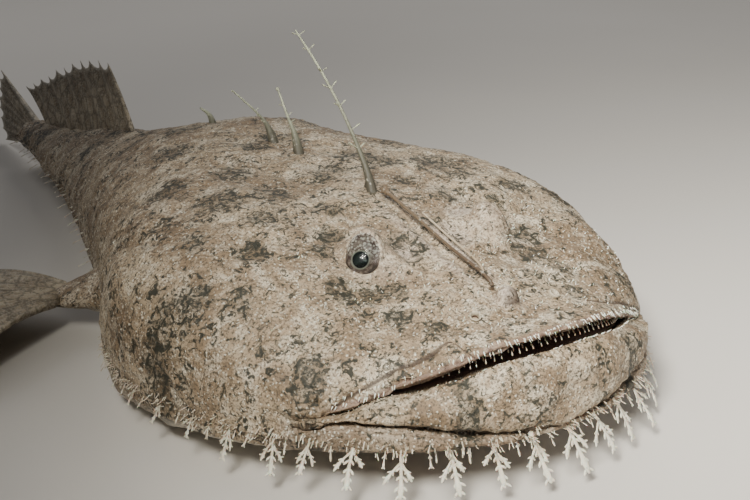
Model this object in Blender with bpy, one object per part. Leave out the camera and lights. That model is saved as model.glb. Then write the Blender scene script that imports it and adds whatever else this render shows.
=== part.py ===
"""A goosefish lying on the bottom, life size, as a still model.

Metres, +Z up. The head faces -Y and the fish's left side is +X. Every mesh is made in the fish's own
coordinates (x across, y back from the tip of the lower jaw, z up from the floor), and the empty
"goosefish" carries them all, so that the origin lies on the floor in the middle of the whole fish.
"""
import math
import random

import bmesh
import bpy
import numpy as np
from mathutils import Vector
from mathutils.bvhtree import BVHTree

# The driving size: every other size follows from the fish's length.
L = 0.80
ORIGIN_BACK = 0.488 * L

# The gap between neighbouring pieces, which keeps their solids apart.
GAP = 0.0003
CUT_CLEARANCE = 1.15 * GAP

# The head seen from above: an ellipse, shorter behind its centre than in front.
HEAD_CENTRE = 0.23 * L
HEAD_HALF_WIDTH = 0.188 * L
GAP_RADIUS = GAP / HEAD_HALF_WIDTH
FRONT_REACH = 0.23 * L
REAR_REACH = 0.17 * L
CROWN_HEIGHT = 0.1365 * L
NECK_BACK = 0.292 * L
TORSO_BACK = 0.58 * L
TAIL_BACK = 0.87 * L

# The mouth: the lips run round the front of the head to a corner on each side. Angles are measured
# round the head from straight ahead, and a radius is a share of the head's outline at its angle.
MOUTH_ANGLE = math.radians(50)
CHEEK_ANGLE = math.radians(66)
LIP_TURN_ANGLE = math.radians(28)
LIP_RADIUS = 0.94
LIP_CORNER_RADIUS = 0.982
JAW_INNER_FRONT = 0.62
JAW_INNER_CORNER = 0.95
LIP_INNER_FRONT = 0.86
LIP_INNER_CORNER = 0.96
UNDERBITE = 0.022
LIP_CORNER_HEIGHT = 0.0455 * L
LIP_RISE = 0.042 * L
LIP_GAP = 0.0006 * L
GAPE = 0.0055 * L
GAPE_ANGLE = math.radians(36)
UPPER_LIP_DEPTH = 0.005 * L
LIP_DEPTH_AT_CORNER = 0.4
MOUTH_DEPTH_FRONT = 0.014 * L
MOUTH_DEPTH_CORNER = 0.003 * L
PALATE_SHARE = 0.25
CHIN_HEIGHT = 0.036 * L
RIM_HEIGHT = 0.030 * L
FOLD_FRONT = 0.0385 * L
FOLD_RISE = 0.0135 * L
FOLD_ANGLE = math.radians(40)
THROAT_LIFT = 0.024 * L
THROAT_BACK = 0.215 * L
THROAT_FRONT = 0.110 * L
# The jaws stop this much short of the mouth's corner, a gap measured at the arch of the mouth.
JAW_END = MOUTH_ANGLE - GAP / (0.8 * HEAD_HALF_WIDTH)

# Stations along the body: distance back, half width, top, widest level, keel, fullness above and below.
STATIONS = np.array([
    (0.23, 0.1880, 0.1365, 0.030, 0.000, 3.4, 4.0),
    (0.30, 0.1713, 0.1400, 0.031, 0.000, 3.1, 4.0),
    (0.34, 0.1510, 0.1425, 0.033, 0.000, 3.0, 4.0),
    (0.40, 0.1300, 0.1420, 0.036, 0.000, 2.8, 3.6),
    (0.50, 0.1000, 0.1220, 0.040, 0.000, 2.3, 3.0),
    (0.60, 0.0720, 0.0960, 0.040, 0.004, 2.0, 2.6),
    (0.70, 0.0510, 0.0770, 0.038, 0.012, 2.0, 2.2),
    (0.80, 0.0340, 0.0600, 0.036, 0.018, 2.0, 2.0),
    (0.87, 0.0240, 0.0520, 0.035, 0.020, 2.0, 2.0),
])
FLOOR_FLATNESS = 1.04
CHIN_FULLNESS = 1.3

# Small forms of the head. The fish's left side has the sign 1 and its right side -1.
EYE_RADIUS = 0.0125 * L
EYE_APART = 0.107 * L
EYE_BACK = 0.1385 * L
EYE_HEIGHT = 0.1125 * L
EYE_AXIS = {-1: (-0.68, -0.58, 0.44), 1: (0.88, -0.25, 0.40)}
LID_WIDTH = 0.0026 * L
LID_FORWARD = 0.0062 * L
ORBIT_PLACE = (0.0475 * L, 0.1430 * L, 0.1005 * L)
ORBIT_SIZE = (0.0240 * L, 0.0300 * L, 0.0265 * L)
NOSTRIL_APART = 0.0612 * L
NOSTRIL_BACK = 0.0532 * L
NOSTRIL_HEIGHT = 0.0935 * L
KNOB_RADIUS = 0.0078 * L
KNOB_BACK = 0.0590 * L
KNOB_HEIGHT = 0.1035 * L
TOOTH_HEIGHT = 0.0034
TOOTH_RADIUS = 0.0009
LOWER_TEETH = 31
UPPER_TEETH = 27
FLAP_THICKNESS = 0.0011
FLAP_ROOT_DEPTH = 0.004
FRINGE_STEP = math.radians(4.1)
FRINGE_DROOP = math.radians(52)
FRINGE_CLEARANCE = 0.0012
SIDE_FLAPS = 11

# Fins and the spines of the back; a spine is a line of points in parts of the fish's length.
CAUDAL_RAYS = 8
DORSAL_RAYS = 11
ANAL_RAYS = 9
PECTORAL_RAYS = 20
PELVIC_RAYS = 5
THROAT_CLEARANCE = 0.0040
ARM_START = (0.105 * L, 0.370 * L, 0.038 * L)
ARM_END = (0.166 * L, 0.408 * L, 0.027 * L)
LEAF_PAIRS = 6
LEAF_LENGTH = 0.0085 * L
ILLICIUM = [(0, 0.0760, 0.098), (0, 0.0800, 0.110), (0, 0.120, 0.1200), (0, 0.1600, 0.1320),
            (0, 0.1880, 0.1405), (0, 0.1960, 0.1410)]
SPINE_2 = [(0.0075, 0.0920, 0.102), (0.0075, 0.0960, 0.1135), (0.0075, 0.130, 0.1240),
           (0.0080, 0.158, 0.1330)]
SPINE_3 = [(0, 0.2045, 0.128), (0, 0.2150, 0.1500), (0, 0.2391, 0.1795), (0, 0.2700, 0.2080),
           (0, 0.3042, 0.2328)]
SPINE_4 = [(0, 0.3020, 0.133), (0, 0.3100, 0.1530), (0, 0.3195, 0.1650), (0, 0.3331, 0.1841)]
SPINE_5 = [(0, 0.3380, 0.133), (0, 0.3500, 0.1500), (0, 0.3690, 0.1590), (0, 0.4055, 0.1690)]
SPINE_6 = [(0, 0.4400, 0.130), (0, 0.4480, 0.1400), (0, 0.4640, 0.1430)]

# How finely the skin is divided: columns round the front of the head, points round the body, and
# points of a column under and over the head's edge.
HEAD_COLUMNS_FRONT = 34
BODY_POINTS = 32
UNDER_POINTS = 4
OVER_POINTS = 9


def smooth_columns(table, s):
    """The table's values at s, by a monotone cubic through its rows."""
    xs = table[:, 0]
    ys = table[:, 1:]
    step = np.diff(xs)[:, None]
    rise = np.diff(ys, axis=0) / step
    slope = np.zeros_like(ys)
    for k in range(1, len(xs) - 1):
        same = rise[k - 1] * rise[k] > 0
        mean = 2 * rise[k - 1] * rise[k] / np.where(same, rise[k - 1] + rise[k], 1)
        slope[k] = np.where(same, mean, 0)
    slope[0] = rise[0]
    slope[-1] = rise[-1]
    k = int(np.clip(np.searchsorted(xs, s) - 1, 0, len(xs) - 2))
    h = xs[k + 1] - xs[k]
    t = (s - xs[k]) / h
    a = (1 + 2 * t) * (1 - t) ** 2
    b = t * (1 - t) ** 2
    c = t * t * (3 - 2 * t)
    d = t * t * (t - 1)
    return a * ys[k] + b * h * slope[k] + c * ys[k + 1] + d * h * slope[k + 1]


def station(y):
    """Half width, top, widest level, keel and fullness of the body at y, in metres."""
    width, top, level, keel, above, below = smooth_columns(STATIONS, y / L)
    if y < 0.31 * L:
        width = HEAD_HALF_WIDTH / L * math.sqrt(1 - ((y - HEAD_CENTRE) / REAR_REACH) ** 2)
    return width * L, top * L, level * L, keel * L, above, below


def bulge(r, fullness):
    """1 at the middle and 0 at the edge, fuller towards the edge the larger the fullness."""
    return max(0.0, 1 - min(abs(r), 1.0) ** fullness) ** (1 / fullness)


def ramp(t):
    """0 to 1 with level ends, for t from 0 to 1."""
    t = min(max(t, 0.0), 1.0)
    return t * t * (3 - 2 * t)


def section_top(x, y):
    width, top, level, keel, above, below = station(y)
    return level + (top - level) * bulge(x / width, above)


def section_under(x, y):
    width, top, level, keel, above, below = station(y)
    return max(keel, keel + (level - keel) * (1 - FLOOR_FLATNESS * bulge(x / width, below)))


def plan_point(angle, radius):
    """Where a radius of the head's outline lies, seen from above; angle 0 is the front."""
    reach = FRONT_REACH if math.cos(angle) >= 0 else REAR_REACH
    return HEAD_HALF_WIDTH * radius * math.sin(angle), HEAD_CENTRE - reach * radius * math.cos(angle)


def lower_lip_height(angle):
    turn = min(abs(angle) / MOUTH_ANGLE, 1.0)
    return LIP_CORNER_HEIGHT + LIP_RISE * math.cos(turn * math.pi / 2)


def upper_lip_height(angle):
    opening = max(0.0, math.cos(min(abs(angle) / GAPE_ANGLE, 1.0) * math.pi / 2))
    return lower_lip_height(angle) + GAPE * opening + LIP_GAP


def lip_radius(angle):
    """Radius of the upper lip's edge, running out to the head's margin behind the mouth's corner."""
    a = abs(angle)
    if a <= MOUTH_ANGLE:
        t = ramp((a - LIP_TURN_ANGLE) / (MOUTH_ANGLE - LIP_TURN_ANGLE))
        return LIP_RADIUS + (LIP_CORNER_RADIUS - LIP_RADIUS) * t
    return LIP_CORNER_RADIUS + (1 - LIP_CORNER_RADIUS) * ramp((a - MOUTH_ANGLE) / (CHEEK_ANGLE - MOUTH_ANGLE))


def margin_height(angle):
    """Level of the head's widest edge, which the fringe hangs from."""
    t = ramp((abs(angle) - FOLD_ANGLE) / (math.pi / 2 - FOLD_ANGLE))
    return CHIN_HEIGHT + (RIM_HEIGHT - CHIN_HEIGHT) * t


def dome_edge(angle):
    """Level where the dome of the head begins: the upper lip, and the margin behind the mouth."""
    a = abs(angle)
    if a <= MOUTH_ANGLE:
        return upper_lip_height(a) + UPPER_LIP_DEPTH * (1 - (1 - LIP_DEPTH_AT_CORNER) * a / MOUTH_ANGLE)
    corner = upper_lip_height(MOUTH_ANGLE) + LIP_DEPTH_AT_CORNER * UPPER_LIP_DEPTH
    t = ramp((a - MOUTH_ANGLE) / (CHEEK_ANGLE - MOUTH_ANGLE))
    return corner + (margin_height(a) - corner) * t


def dome_height(angle, radius):
    """Top of the head in front of its centre."""
    share = abs(math.sin(angle)) ** 1.6
    r = min(radius / lip_radius(angle), 1.0)
    slope = (1 + math.cos(math.pi * r)) / 2
    full = bulge(r, STATIONS[0, 5])
    edge = dome_edge(angle)
    return edge + (CROWN_HEIGHT - edge) * (share * full + (1 - share) * slope)


def throat_height(y):
    """How far the throat is raised off the floor in front of the belly."""
    return THROAT_LIFT * ramp((THROAT_BACK - y) / (THROAT_BACK - THROAT_FRONT))


def under_height(angle, radius):
    """Underside of the head in front of its centre: flat on the floor, raised to the throat and chin."""
    fullness = CHIN_FULLNESS + (STATIONS[0, 6] - CHIN_FULLNESS) * abs(math.sin(angle)) ** 4
    level = margin_height(angle)
    x, y = plan_point(angle, radius)
    throat = throat_height(y) * bulge(radius, 2)
    return max(0.0, throat, throat + (level - throat) * (1 - FLOOR_FLATNESS * bulge(radius, fullness)))


def jaw_inner_radius(angle):
    """The lower jaw's inner edge, which narrows to the jaw's ends at the mouth's corners."""
    return JAW_INNER_FRONT + (JAW_INNER_CORNER - JAW_INNER_FRONT) * (abs(angle) / MOUTH_ANGLE) ** 2


def lip_inner_radius(angle):
    """The upper jaw's inner edge."""
    return LIP_INNER_FRONT + (LIP_INNER_CORNER - LIP_INNER_FRONT) * (abs(angle) / MOUTH_ANGLE) ** 2


def mouth_depth(angle):
    return MOUTH_DEPTH_FRONT + (MOUTH_DEPTH_CORNER - MOUTH_DEPTH_FRONT) * abs(angle) / MOUTH_ANGLE


def palate_height(angle):
    return upper_lip_height(angle) + PALATE_SHARE * mouth_depth(angle)


def head_point(angle, radius, z):
    x, y = plan_point(angle, radius)
    return x, y, z


def over_radii():
    """Radii from the edge to near the middle, close together at the edge where the dome is steep."""
    turns = [math.pi / 2 * (1 - k / OVER_POINTS) for k in range(OVER_POINTS)]
    return [math.sin(turn) ** (2 / STATIONS[0, 5]) for turn in turns]


def under_radii():
    return [math.sin(math.pi / 2 * (k + 1) / (UNDER_POINTS + 0.4)) for k in range(UNDER_POINTS)]


def mouth_column(angle):
    """The head above and behind the jaws, from the belly's middle round the palate to the crown."""
    inner = jaw_inner_radius(angle) - GAP_RADIUS
    lip = lip_inner_radius(angle) - GAP_RADIUS
    points = []
    for r in under_radii():
        points.append(head_point(angle, inner * r, under_height(angle, inner * r)))
    points.append(head_point(angle, inner, under_height(angle, inner)))
    points.append(head_point(angle, inner, palate_height(angle)))
    points.append(head_point(angle, lip, palate_height(angle)))
    for r in over_radii():
        points.append(head_point(angle, lip * r, dome_height(angle, lip * r)))
    return points


def cheek_column(angle):
    """The side of the head in front of its centre, behind the mouth's corner."""
    edge = lip_radius(angle)
    points = []
    for r in under_radii():
        points.append(head_point(angle, r, under_height(angle, r)))
    points.append(head_point(angle, 1.0, margin_height(angle)))
    level = margin_height(angle)
    rise = dome_edge(angle) - level
    points.append(head_point(angle, 1.0 - (1 - edge) * 0.2, level + 0.35 * rise))
    points.append(head_point(angle, 1.0 - (1 - edge) * 0.6, level + 0.7 * rise))
    for r in over_radii():
        points.append(head_point(angle, edge * r, dome_height(angle, edge * r)))
    return points


def rear_column(angle):
    """The head behind its centre, cut off by the upright plane where the torso begins."""
    back = NECK_BACK - GAP / 2
    reach = (back - HEAD_CENTRE) / (REAR_REACH * max(abs(math.cos(angle)), 1e-6))
    edge = min(1.0, reach)
    points = []
    for r in under_radii():
        x, y = plan_point(angle, edge * r)
        points.append((x, y, section_under(x, y)))
    x, y = plan_point(angle, edge)
    low = section_under(x, y)
    high = section_top(x, y)
    for k in range(3):
        points.append((x, y, low + (high - low) * k / 3))
    for r in over_radii():
        x, y = plan_point(angle, edge * r)
        points.append((x, y, section_top(x, y)))
    return points


def mesh_object(name, vertices, faces, paint, merge=True):
    """A closed mesh object in the fish's coordinates, in triangles, facing out."""
    mesh = bpy.data.meshes.new(name)
    mesh.from_pydata([tuple(v) for v in vertices], [], [tuple(f) for f in faces])
    bm = bmesh.new()
    bm.from_mesh(mesh)
    if merge:
        bmesh.ops.remove_doubles(bm, verts=bm.verts, dist=0.00002)
        bmesh.ops.dissolve_degenerate(bm, edges=bm.edges, dist=0.00002)
    bmesh.ops.triangulate(bm, faces=bm.faces)
    bmesh.ops.recalc_face_normals(bm, faces=bm.faces)
    bm.to_mesh(mesh)
    bm.free()
    mesh.materials.append(paint)
    mesh.shade_smooth()
    mesh.set_sharp_from_angle(angle=math.radians(40))
    piece = bpy.data.objects.new(name, mesh)
    bpy.context.scene.collection.objects.link(piece)
    return piece


def paint(name, colour, roughness):
    material = bpy.data.materials.new(name)
    material.use_nodes = True
    shader = material.node_tree.nodes["Principled BSDF"]
    shader.inputs["Base Color"].default_value = (*colour, 1.0)
    shader.inputs["Roughness"].default_value = roughness
    shader.inputs["Metallic"].default_value = 0.0
    return material


def ring_faces(rings, closed_ends=True):
    """Faces of a tube through rings of equal count, with flat ends."""
    count = len(rings[0])
    faces = []
    for i in range(len(rings) - 1):
        for k in range(count):
            a = i * count + k
            b = i * count + (k + 1) % count
            faces.append((a, b, b + count, a + count))
    if closed_ends:
        faces.append(tuple(range(count))[::-1])
        last = (len(rings) - 1) * count
        faces.append(tuple(last + k for k in range(count)))
    return faces


def ring_solid(name, rings, material):
    vertices = [point for ring in rings for point in ring]
    return mesh_object(name, vertices, ring_faces(rings), material)


def make_head(material):
    """The head in columns round its centre: mouth columns between the corners, cheeks, and the rear.

    The columns of the flat rear face stand at the points of the torso's first ring, so that the two meet.
    """
    front = np.linspace(-math.pi / 2, math.pi / 2, HEAD_COLUMNS_FRONT + 1)
    neck = NECK_BACK - GAP / 2
    corner = math.acos((neck - HEAD_CENTRE) / REAR_REACH)
    side = np.linspace(math.pi / 2, math.pi - corner, 4)[1:]
    back = []
    for x, y, z in body_ring(neck, BODY_POINTS):
        if z > station(neck)[2] + 1e-6:
            back.append(math.atan2(x / HEAD_HALF_WIDTH, (HEAD_CENTRE - neck) / REAR_REACH) % (2 * math.pi))
    back.sort()
    columns = []
    for angle in front:
        if abs(angle) < MOUTH_ANGLE - 1e-6:
            continue
        columns.append((angle, cheek_column(angle)))
    for angle in [a for a in front if abs(a) < MOUTH_ANGLE - 1e-6] + [-MOUTH_ANGLE, MOUTH_ANGLE]:
        columns.append((angle, mouth_column(angle)))
    for angle in (-MOUTH_ANGLE, MOUTH_ANGLE):
        columns.append((angle - math.copysign(1e-7, -angle), cheek_column(angle)))
    columns.sort(key=lambda item: item[0])
    for angle in side:
        columns.append((angle, rear_column(angle)))
    for angle in back:
        columns.append((angle, rear_column(angle)))
    for angle in 2 * math.pi - side[::-1]:
        columns.append((angle, rear_column(angle)))
    vertices = [point for angle, column in columns for point in column]
    count = len(columns[0][1])
    total = len(columns)
    belly = len(vertices)
    vertices.append((0.0, HEAD_CENTRE, 0.0))
    vertices.append((0.0, HEAD_CENTRE, CROWN_HEIGHT))
    faces = []
    for i in range(total):
        j = (i + 1) % total
        for k in range(count - 1):
            faces.append((i * count + k, j * count + k, j * count + k + 1, i * count + k + 1))
        faces.append((belly, j * count, i * count))
        faces.append((belly + 1, i * count + count - 1, j * count + count - 1))
    return mesh_object("head", vertices, faces, material)


def jaw_ring(angle):
    """The lower jaw cut across at an angle: underside, fold, bulging front, lip and mouth floor."""
    inner = jaw_inner_radius(angle)
    lip = min(lip_radius(angle) + UNDERBITE, 1.0)
    top = lower_lip_height(angle)
    level = margin_height(angle)
    depth = mouth_depth(angle)
    tall = top - level
    fold = min(FOLD_FRONT + FOLD_RISE * ramp(abs(angle) / FOLD_ANGLE), level + 0.8 * tall)
    points = [
        (inner, under_height(angle, inner)),
        (inner + 0.45 * (1 - inner), under_height(angle, inner + 0.45 * (1 - inner))),
        (inner + 0.8 * (1 - inner), under_height(angle, inner + 0.8 * (1 - inner))),
        (0.985, under_height(angle, 0.985)),
        (1.0, level),
        (0.997, 0.4 * level + 0.6 * fold),
        (0.988, fold),
        (1.002, 0.75 * fold + 0.25 * top),
        (1.008, 0.45 * fold + 0.55 * top),
        (1.000, 0.2 * fold + 0.8 * top),
        (0.5 + 0.5 * lip, 0.06 * fold + 0.94 * top),
        (lip, top),
        (lip - 0.015, top - 0.12 * depth),
        (lip - 0.03, top - 0.6 * depth),
        (min(lip - 0.05, inner + 0.8 * (lip - inner)), top - depth),
        (inner, top - depth),
    ]
    return [head_point(angle, r, z) for r, z in points]


def make_lower_jaw(material):
    rings = [jaw_ring(angle) for angle in np.linspace(-JAW_END, JAW_END, 21)]
    return ring_solid("lower_jaw", rings, material)


def upper_jaw_ring(angle):
    """The upper jaw cut across at an angle: palate, lip and the snout's skin above it."""
    inner = lip_inner_radius(angle)
    lip = lip_radius(angle)
    low = upper_lip_height(angle)
    edge = dome_edge(angle)
    wide = lip - inner
    points = [
        (inner, palate_height(angle)),
        (lip - 0.45 * wide, low + 0.3 * (palate_height(angle) - low)),
        (lip - 0.12 * wide, low),
        (lip + 0.004, low + 0.25 * (edge - low)),
        (lip + 0.002, low + 0.75 * (edge - low)),
        (lip, edge),
        (lip - 0.25 * wide, dome_height(angle, lip - 0.25 * wide)),
        (lip - 0.6 * wide, dome_height(angle, lip - 0.6 * wide)),
        (inner, dome_height(angle, inner)),
    ]
    return [head_point(angle, r, z) for r, z in points]


def make_upper_jaw(material):
    rings = [upper_jaw_ring(angle) for angle in np.linspace(-JAW_END, JAW_END, 21)]
    return ring_solid("upper_jaw", rings, material)


def body_ring(y, around):
    """The body cut across at y, from the keel round the left side, the back and the right side."""
    width, top, level, keel, above, below = station(y)
    ring = []
    for k in range(around):
        turn = 2 * math.pi * k / around - math.pi / 2
        side = math.cos(turn)
        fullness = above if math.sin(turn) >= 0 else below
        x = width * math.copysign(abs(side) ** (2 / fullness), side)
        if abs(side) < 1e-9:
            x = 0.0
        z = section_top(x, y) if math.sin(turn) >= 0 else section_under(x, y)
        ring.append((x, y, z))
    return ring


def make_body_length(name, start, end, count, around, material):
    rings = [body_ring(y, around) for y in np.linspace(start, end, count)]
    return ring_solid(name, rings, material)


def lathe(name, profile, centre, axis, sides, material, looped=False):
    """A turned solid: the profile is (radius, height along the axis), from pole to pole or a loop."""
    axis = Vector(axis).normalized()
    across = axis.orthogonal().normalized()
    other = axis.cross(across)
    rings = []
    for radius, height in profile:
        ring = []
        for k in range(sides):
            turn = 2 * math.pi * k / sides
            spoke = across * math.cos(turn) + other * math.sin(turn)
            ring.append(Vector(centre) + axis * height + spoke * radius)
        rings.append(ring)
    if looped:
        rings.append(rings[0])
    vertices = [point for ring in rings for point in ring]
    return mesh_object(name, vertices, ring_faces(rings, closed_ends=not looped), material)


def ball_profile(radius, steps):
    turns = [math.pi * k / steps for k in range(steps + 1)]
    return [(radius * math.sin(turn), -radius * math.cos(turn)) for turn in turns]


def tube(name, points, radii, sides, material, flatten=1.0, up=(0, 0, 1)):
    """A tapered rod through the points, flattened along "up" where asked."""
    points = [Vector(p) for p in points]
    rings = []
    for k, point in enumerate(points):
        ahead = (points[min(k + 1, len(points) - 1)] - points[max(k - 1, 0)]).normalized()
        across = ahead.cross(Vector(up)).normalized()
        rise = across.cross(ahead)
        ring = []
        for i in range(sides):
            turn = 2 * math.pi * i / sides
            spoke = across * math.cos(turn) + rise * math.sin(turn) * flatten
            ring.append(point + spoke * radii[k])
        rings.append(ring)
    return ring_solid(name, rings, material)


def apply_boolean(piece, operation, others):
    """One Boolean with a collection of closed solids, applied; the solids are then removed.

    The operands lie over each other and are many, where the exact solver left open edges; all of them
    are closed, as this solver needs.
    """
    group = bpy.data.collections.new("operands")
    bpy.context.scene.collection.children.link(group)
    for other in others:
        bpy.context.scene.collection.objects.unlink(other)
        group.objects.link(other)
    cut = piece.modifiers.new("join", "BOOLEAN")
    cut.operation = operation
    cut.solver = "MANIFOLD"
    cut.operand_type = "COLLECTION"
    cut.collection = group
    bpy.context.view_layer.update()
    evaluated = piece.evaluated_get(bpy.context.evaluated_depsgraph_get())
    mesh = bpy.data.meshes.new_from_object(evaluated)
    piece.modifiers.clear()
    piece.data = mesh
    for other in others:
        bpy.data.objects.remove(other, do_unlink=True)
    bpy.data.collections.remove(group)
    keep_largest(piece)


def keep_largest(piece):
    """Keep the largest closed surface of a piece, clean and in triangles."""
    bm = bmesh.new()
    bm.from_mesh(piece.data)
    bmesh.ops.remove_doubles(bm, verts=bm.verts, dist=0.000003)
    bmesh.ops.dissolve_degenerate(bm, edges=bm.edges, dist=0.000003)
    bmesh.ops.triangulate(bm, faces=bm.faces)
    left = set(bm.faces)
    shells = []
    while left:
        shell = [left.pop()]
        for face in shell:
            for edge in face.edges:
                for near in edge.link_faces:
                    if near in left:
                        left.remove(near)
                        shell.append(near)
        shells.append(shell)
    shells.sort(key=lambda shell: sum(face.calc_area() for face in shell))
    for shell in shells[:-1]:
        bmesh.ops.delete(bm, geom=shell, context="FACES")
    bmesh.ops.delete(bm, geom=[v for v in bm.verts if not v.link_faces], context="VERTS")
    bm.to_mesh(piece.data)
    bm.free()


def swollen(piece, thickness):
    """A copy of a piece whose surface lies further out by the thickness."""
    copy = piece.copy()
    copy.data = piece.data.copy()
    bpy.context.scene.collection.objects.link(copy)
    bm = bmesh.new()
    bm.from_mesh(copy.data)
    bm.normal_update()
    moves = [(v, v.normal * thickness * min(v.calc_shell_factor(), 1.6)) for v in bm.verts]
    for v, move in moves:
        v.co += move
    bm.to_mesh(copy.data)
    bm.free()
    return copy


def cut_clear(piece, neighbour):
    """Cut a piece where it sinks in its neighbour, so that the two meet face to face."""
    apply_boolean(piece, "DIFFERENCE", [swollen(neighbour, CUT_CLEARANCE)])


def flap(name, root, out, side, length, width, pairs, material):
    """One flat skin flap: a stem with pairs of side lobes and a rounded tip, its root sunk in the skin."""
    out = Vector(out).normalized()
    side = (Vector(side) - out * Vector(side).dot(out)).normalized()
    face = out.cross(side)
    stem = 0.16 * width
    half = [(1.3 * stem, -FLAP_ROOT_DEPTH)]
    for k in range(pairs):
        low = length * (0.22 + 0.5 * k / max(pairs, 1))
        reach = width * (0.5 - 0.1 * k)
        half.append((stem, low))
        half.append((reach, low + 0.16 * length))
        half.append((0.8 * reach, low + 0.24 * length))
        half.append((stem, low + 0.1 * length))
    half.append((1.6 * stem, 0.88 * length))
    outline = half + [(0.0, length)] + [(-x, y) for x, y in reversed(half)]
    thick = FLAP_THICKNESS / 2
    rings = []
    for offset in (-thick, thick):
        rings.append([Vector(root) + side * x + out * y + face * offset for x, y in outline])
    return ring_solid(name, rings, material)


def outline_normal(angle):
    """The level direction straight out of the head's outline."""
    reach = FRONT_REACH if math.cos(angle) >= 0 else REAR_REACH
    return Vector((math.sin(angle) / HEAD_HALF_WIDTH, -math.cos(angle) / reach, 0)).normalized()


def fringe_places():
    """The fringe round the head: angle, length, width and pairs of lobes of every flap."""
    draw = random.Random(7)
    places = []
    for k in range(-27, 28):
        angle = FRINGE_STEP * k + math.radians(draw.uniform(-0.8, 0.8))
        big = k % 2 == 0
        frontness = max(0.0, math.cos(min(abs(angle) * 0.8, math.pi / 2)))
        length = (0.011 + 0.021 * frontness ** 2) * L * draw.uniform(0.85, 1.1) if big else 0.010 * L
        pairs = (2 if frontness > 0.45 else 1) if big else 0
        places.append((angle, length, 0.62 * length if big else 0.004 * L, pairs))
    return places


def fringe_flap(index, place, material):
    """A flap that hangs from the head's margin, outwards and down to just above the floor."""
    angle, length, width, pairs = place
    x, y = plan_point(angle, 1.0)
    z = margin_height(min(abs(angle), math.pi / 2))
    normal = outline_normal(angle)
    length = min(length, (z - FRINGE_CLEARANCE) / math.sin(FRINGE_DROOP))
    out = normal * math.cos(FRINGE_DROOP) - Vector((0, 0, math.sin(FRINGE_DROOP)))
    side = Vector((-normal.y, normal.x, 0))
    return flap(f"fringe{index}", (x, y, z), out, side, length, width, pairs, material)


def side_flap(index, y, hand, material):
    """A small flap on the margin of the torso or tail."""
    width, top, level, keel, above, below = station(y)
    root = (hand * (width - 0.0005), y, level)
    out = (hand, 0.25, -0.35)
    return flap(f"side{index}", root, out, (0, 1, 0), 0.012 * L, 0.005 * L, 0, material)


def make_tooth(name, root, tip, radius, material):
    return tube(name, [root, tip], [radius, 0.12 * radius], 4, material)


def lower_teeth(material):
    teeth = []
    for k in range(LOWER_TEETH):
        angle = MOUTH_ANGLE * 0.86 * (2 * k / (LOWER_TEETH - 1) - 1)
        lip = lip_radius(angle) + UNDERBITE - 0.002
        top = lower_lip_height(angle)
        tall = TOOTH_HEIGHT * (1.0 + 0.3 * math.sin(5 * k))
        root = head_point(angle, lip - 0.004, top - 0.0020)
        tip = head_point(angle, lip, top + tall)
        teeth.append(make_tooth(f"lower_tooth{k}", root, tip, TOOTH_RADIUS, material))
    return teeth


def upper_teeth(material):
    teeth = []
    for k in range(UPPER_TEETH):
        angle = GAPE_ANGLE * 0.9 * (2 * k / (UPPER_TEETH - 1) - 1)
        lip = lip_radius(angle)
        low = upper_lip_height(angle)
        room = low - lower_lip_height(angle) + 0.2 * mouth_depth(angle)
        tall = min(TOOTH_HEIGHT, 0.6 * room) * (0.85 + 0.15 * math.sin(7 * k))
        root = head_point(angle, lip - 0.004, low + 0.0020)
        tip = head_point(angle, lip - 0.012, low - tall)
        teeth.append(make_tooth(f"upper_tooth{k}", root, tip, TOOTH_RADIUS, material))
    return teeth


def eye_centre(hand):
    return Vector((hand * EYE_APART / 2, EYE_BACK, EYE_HEIGHT))


def eye_axis(hand):
    return Vector(EYE_AXIS[hand]).normalized()


def head_forms(material):
    """Orbits, lids, snout knob and nostril stalks, each sunk in the head."""
    forms = []
    for hand in (-1, 1):
        orbit = lathe(f"orbit{hand}", ball_profile(1.0, 8), (0, 0, 0), (0, 0, 1), 12, material)
        for v in orbit.data.vertices:
            v.co = (
                hand * ORBIT_PLACE[0] + v.co.x * ORBIT_SIZE[0],
                ORBIT_PLACE[1] + v.co.y * ORBIT_SIZE[1],
                ORBIT_PLACE[2] + v.co.z * ORBIT_SIZE[2],
            )
        forms.append(orbit)
        rim = []
        for k in range(6):
            turn = 2 * math.pi * k / 6
            rim.append((EYE_RADIUS + 0.4 * LID_WIDTH + LID_WIDTH * math.cos(turn),
                        LID_FORWARD + LID_WIDTH * math.sin(turn)))
        forms.append(lathe(f"lid{hand}", rim, eye_centre(hand), eye_axis(hand), 14, material, looped=True))
        stalk = [(0.0, -0.006), (0.0022, -0.006), (0.0020, 0.002), (0.0036, 0.0045), (0.0030, 0.0065),
                 (0.0, 0.0055)]
        x = hand * NOSTRIL_APART / 2
        root = (x, NOSTRIL_BACK, NOSTRIL_HEIGHT)
        forms.append(lathe(f"nostril{hand}", stalk, root, (hand * 0.25, -0.45, 0.86), 8, material))
    knob = lathe("knob", ball_profile(KNOB_RADIUS, 6), (0, KNOB_BACK, KNOB_HEIGHT), (0, 0, 1), 10, material)
    forms.append(knob)
    return forms


def cut_sockets(head, material):
    """Open a round socket for each eyeball, from the back of the ball straight out along its axis."""
    cutters = []
    radius = EYE_RADIUS + CUT_CLEARANCE
    for hand in (-1, 1):
        profile = ball_profile(radius, 10)[:6]
        profile += [(radius * 1.08, 0.02 * L), (0.0, 0.02 * L)]
        cutters.append(lathe(f"socket{hand}", profile, eye_centre(hand), eye_axis(hand), 14, material))
    apply_boolean(head, "DIFFERENCE", cutters)


def make_eye(hand, name, material):
    return lathe(name, ball_profile(EYE_RADIUS, 10), eye_centre(hand), eye_axis(hand), 14, material)


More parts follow.
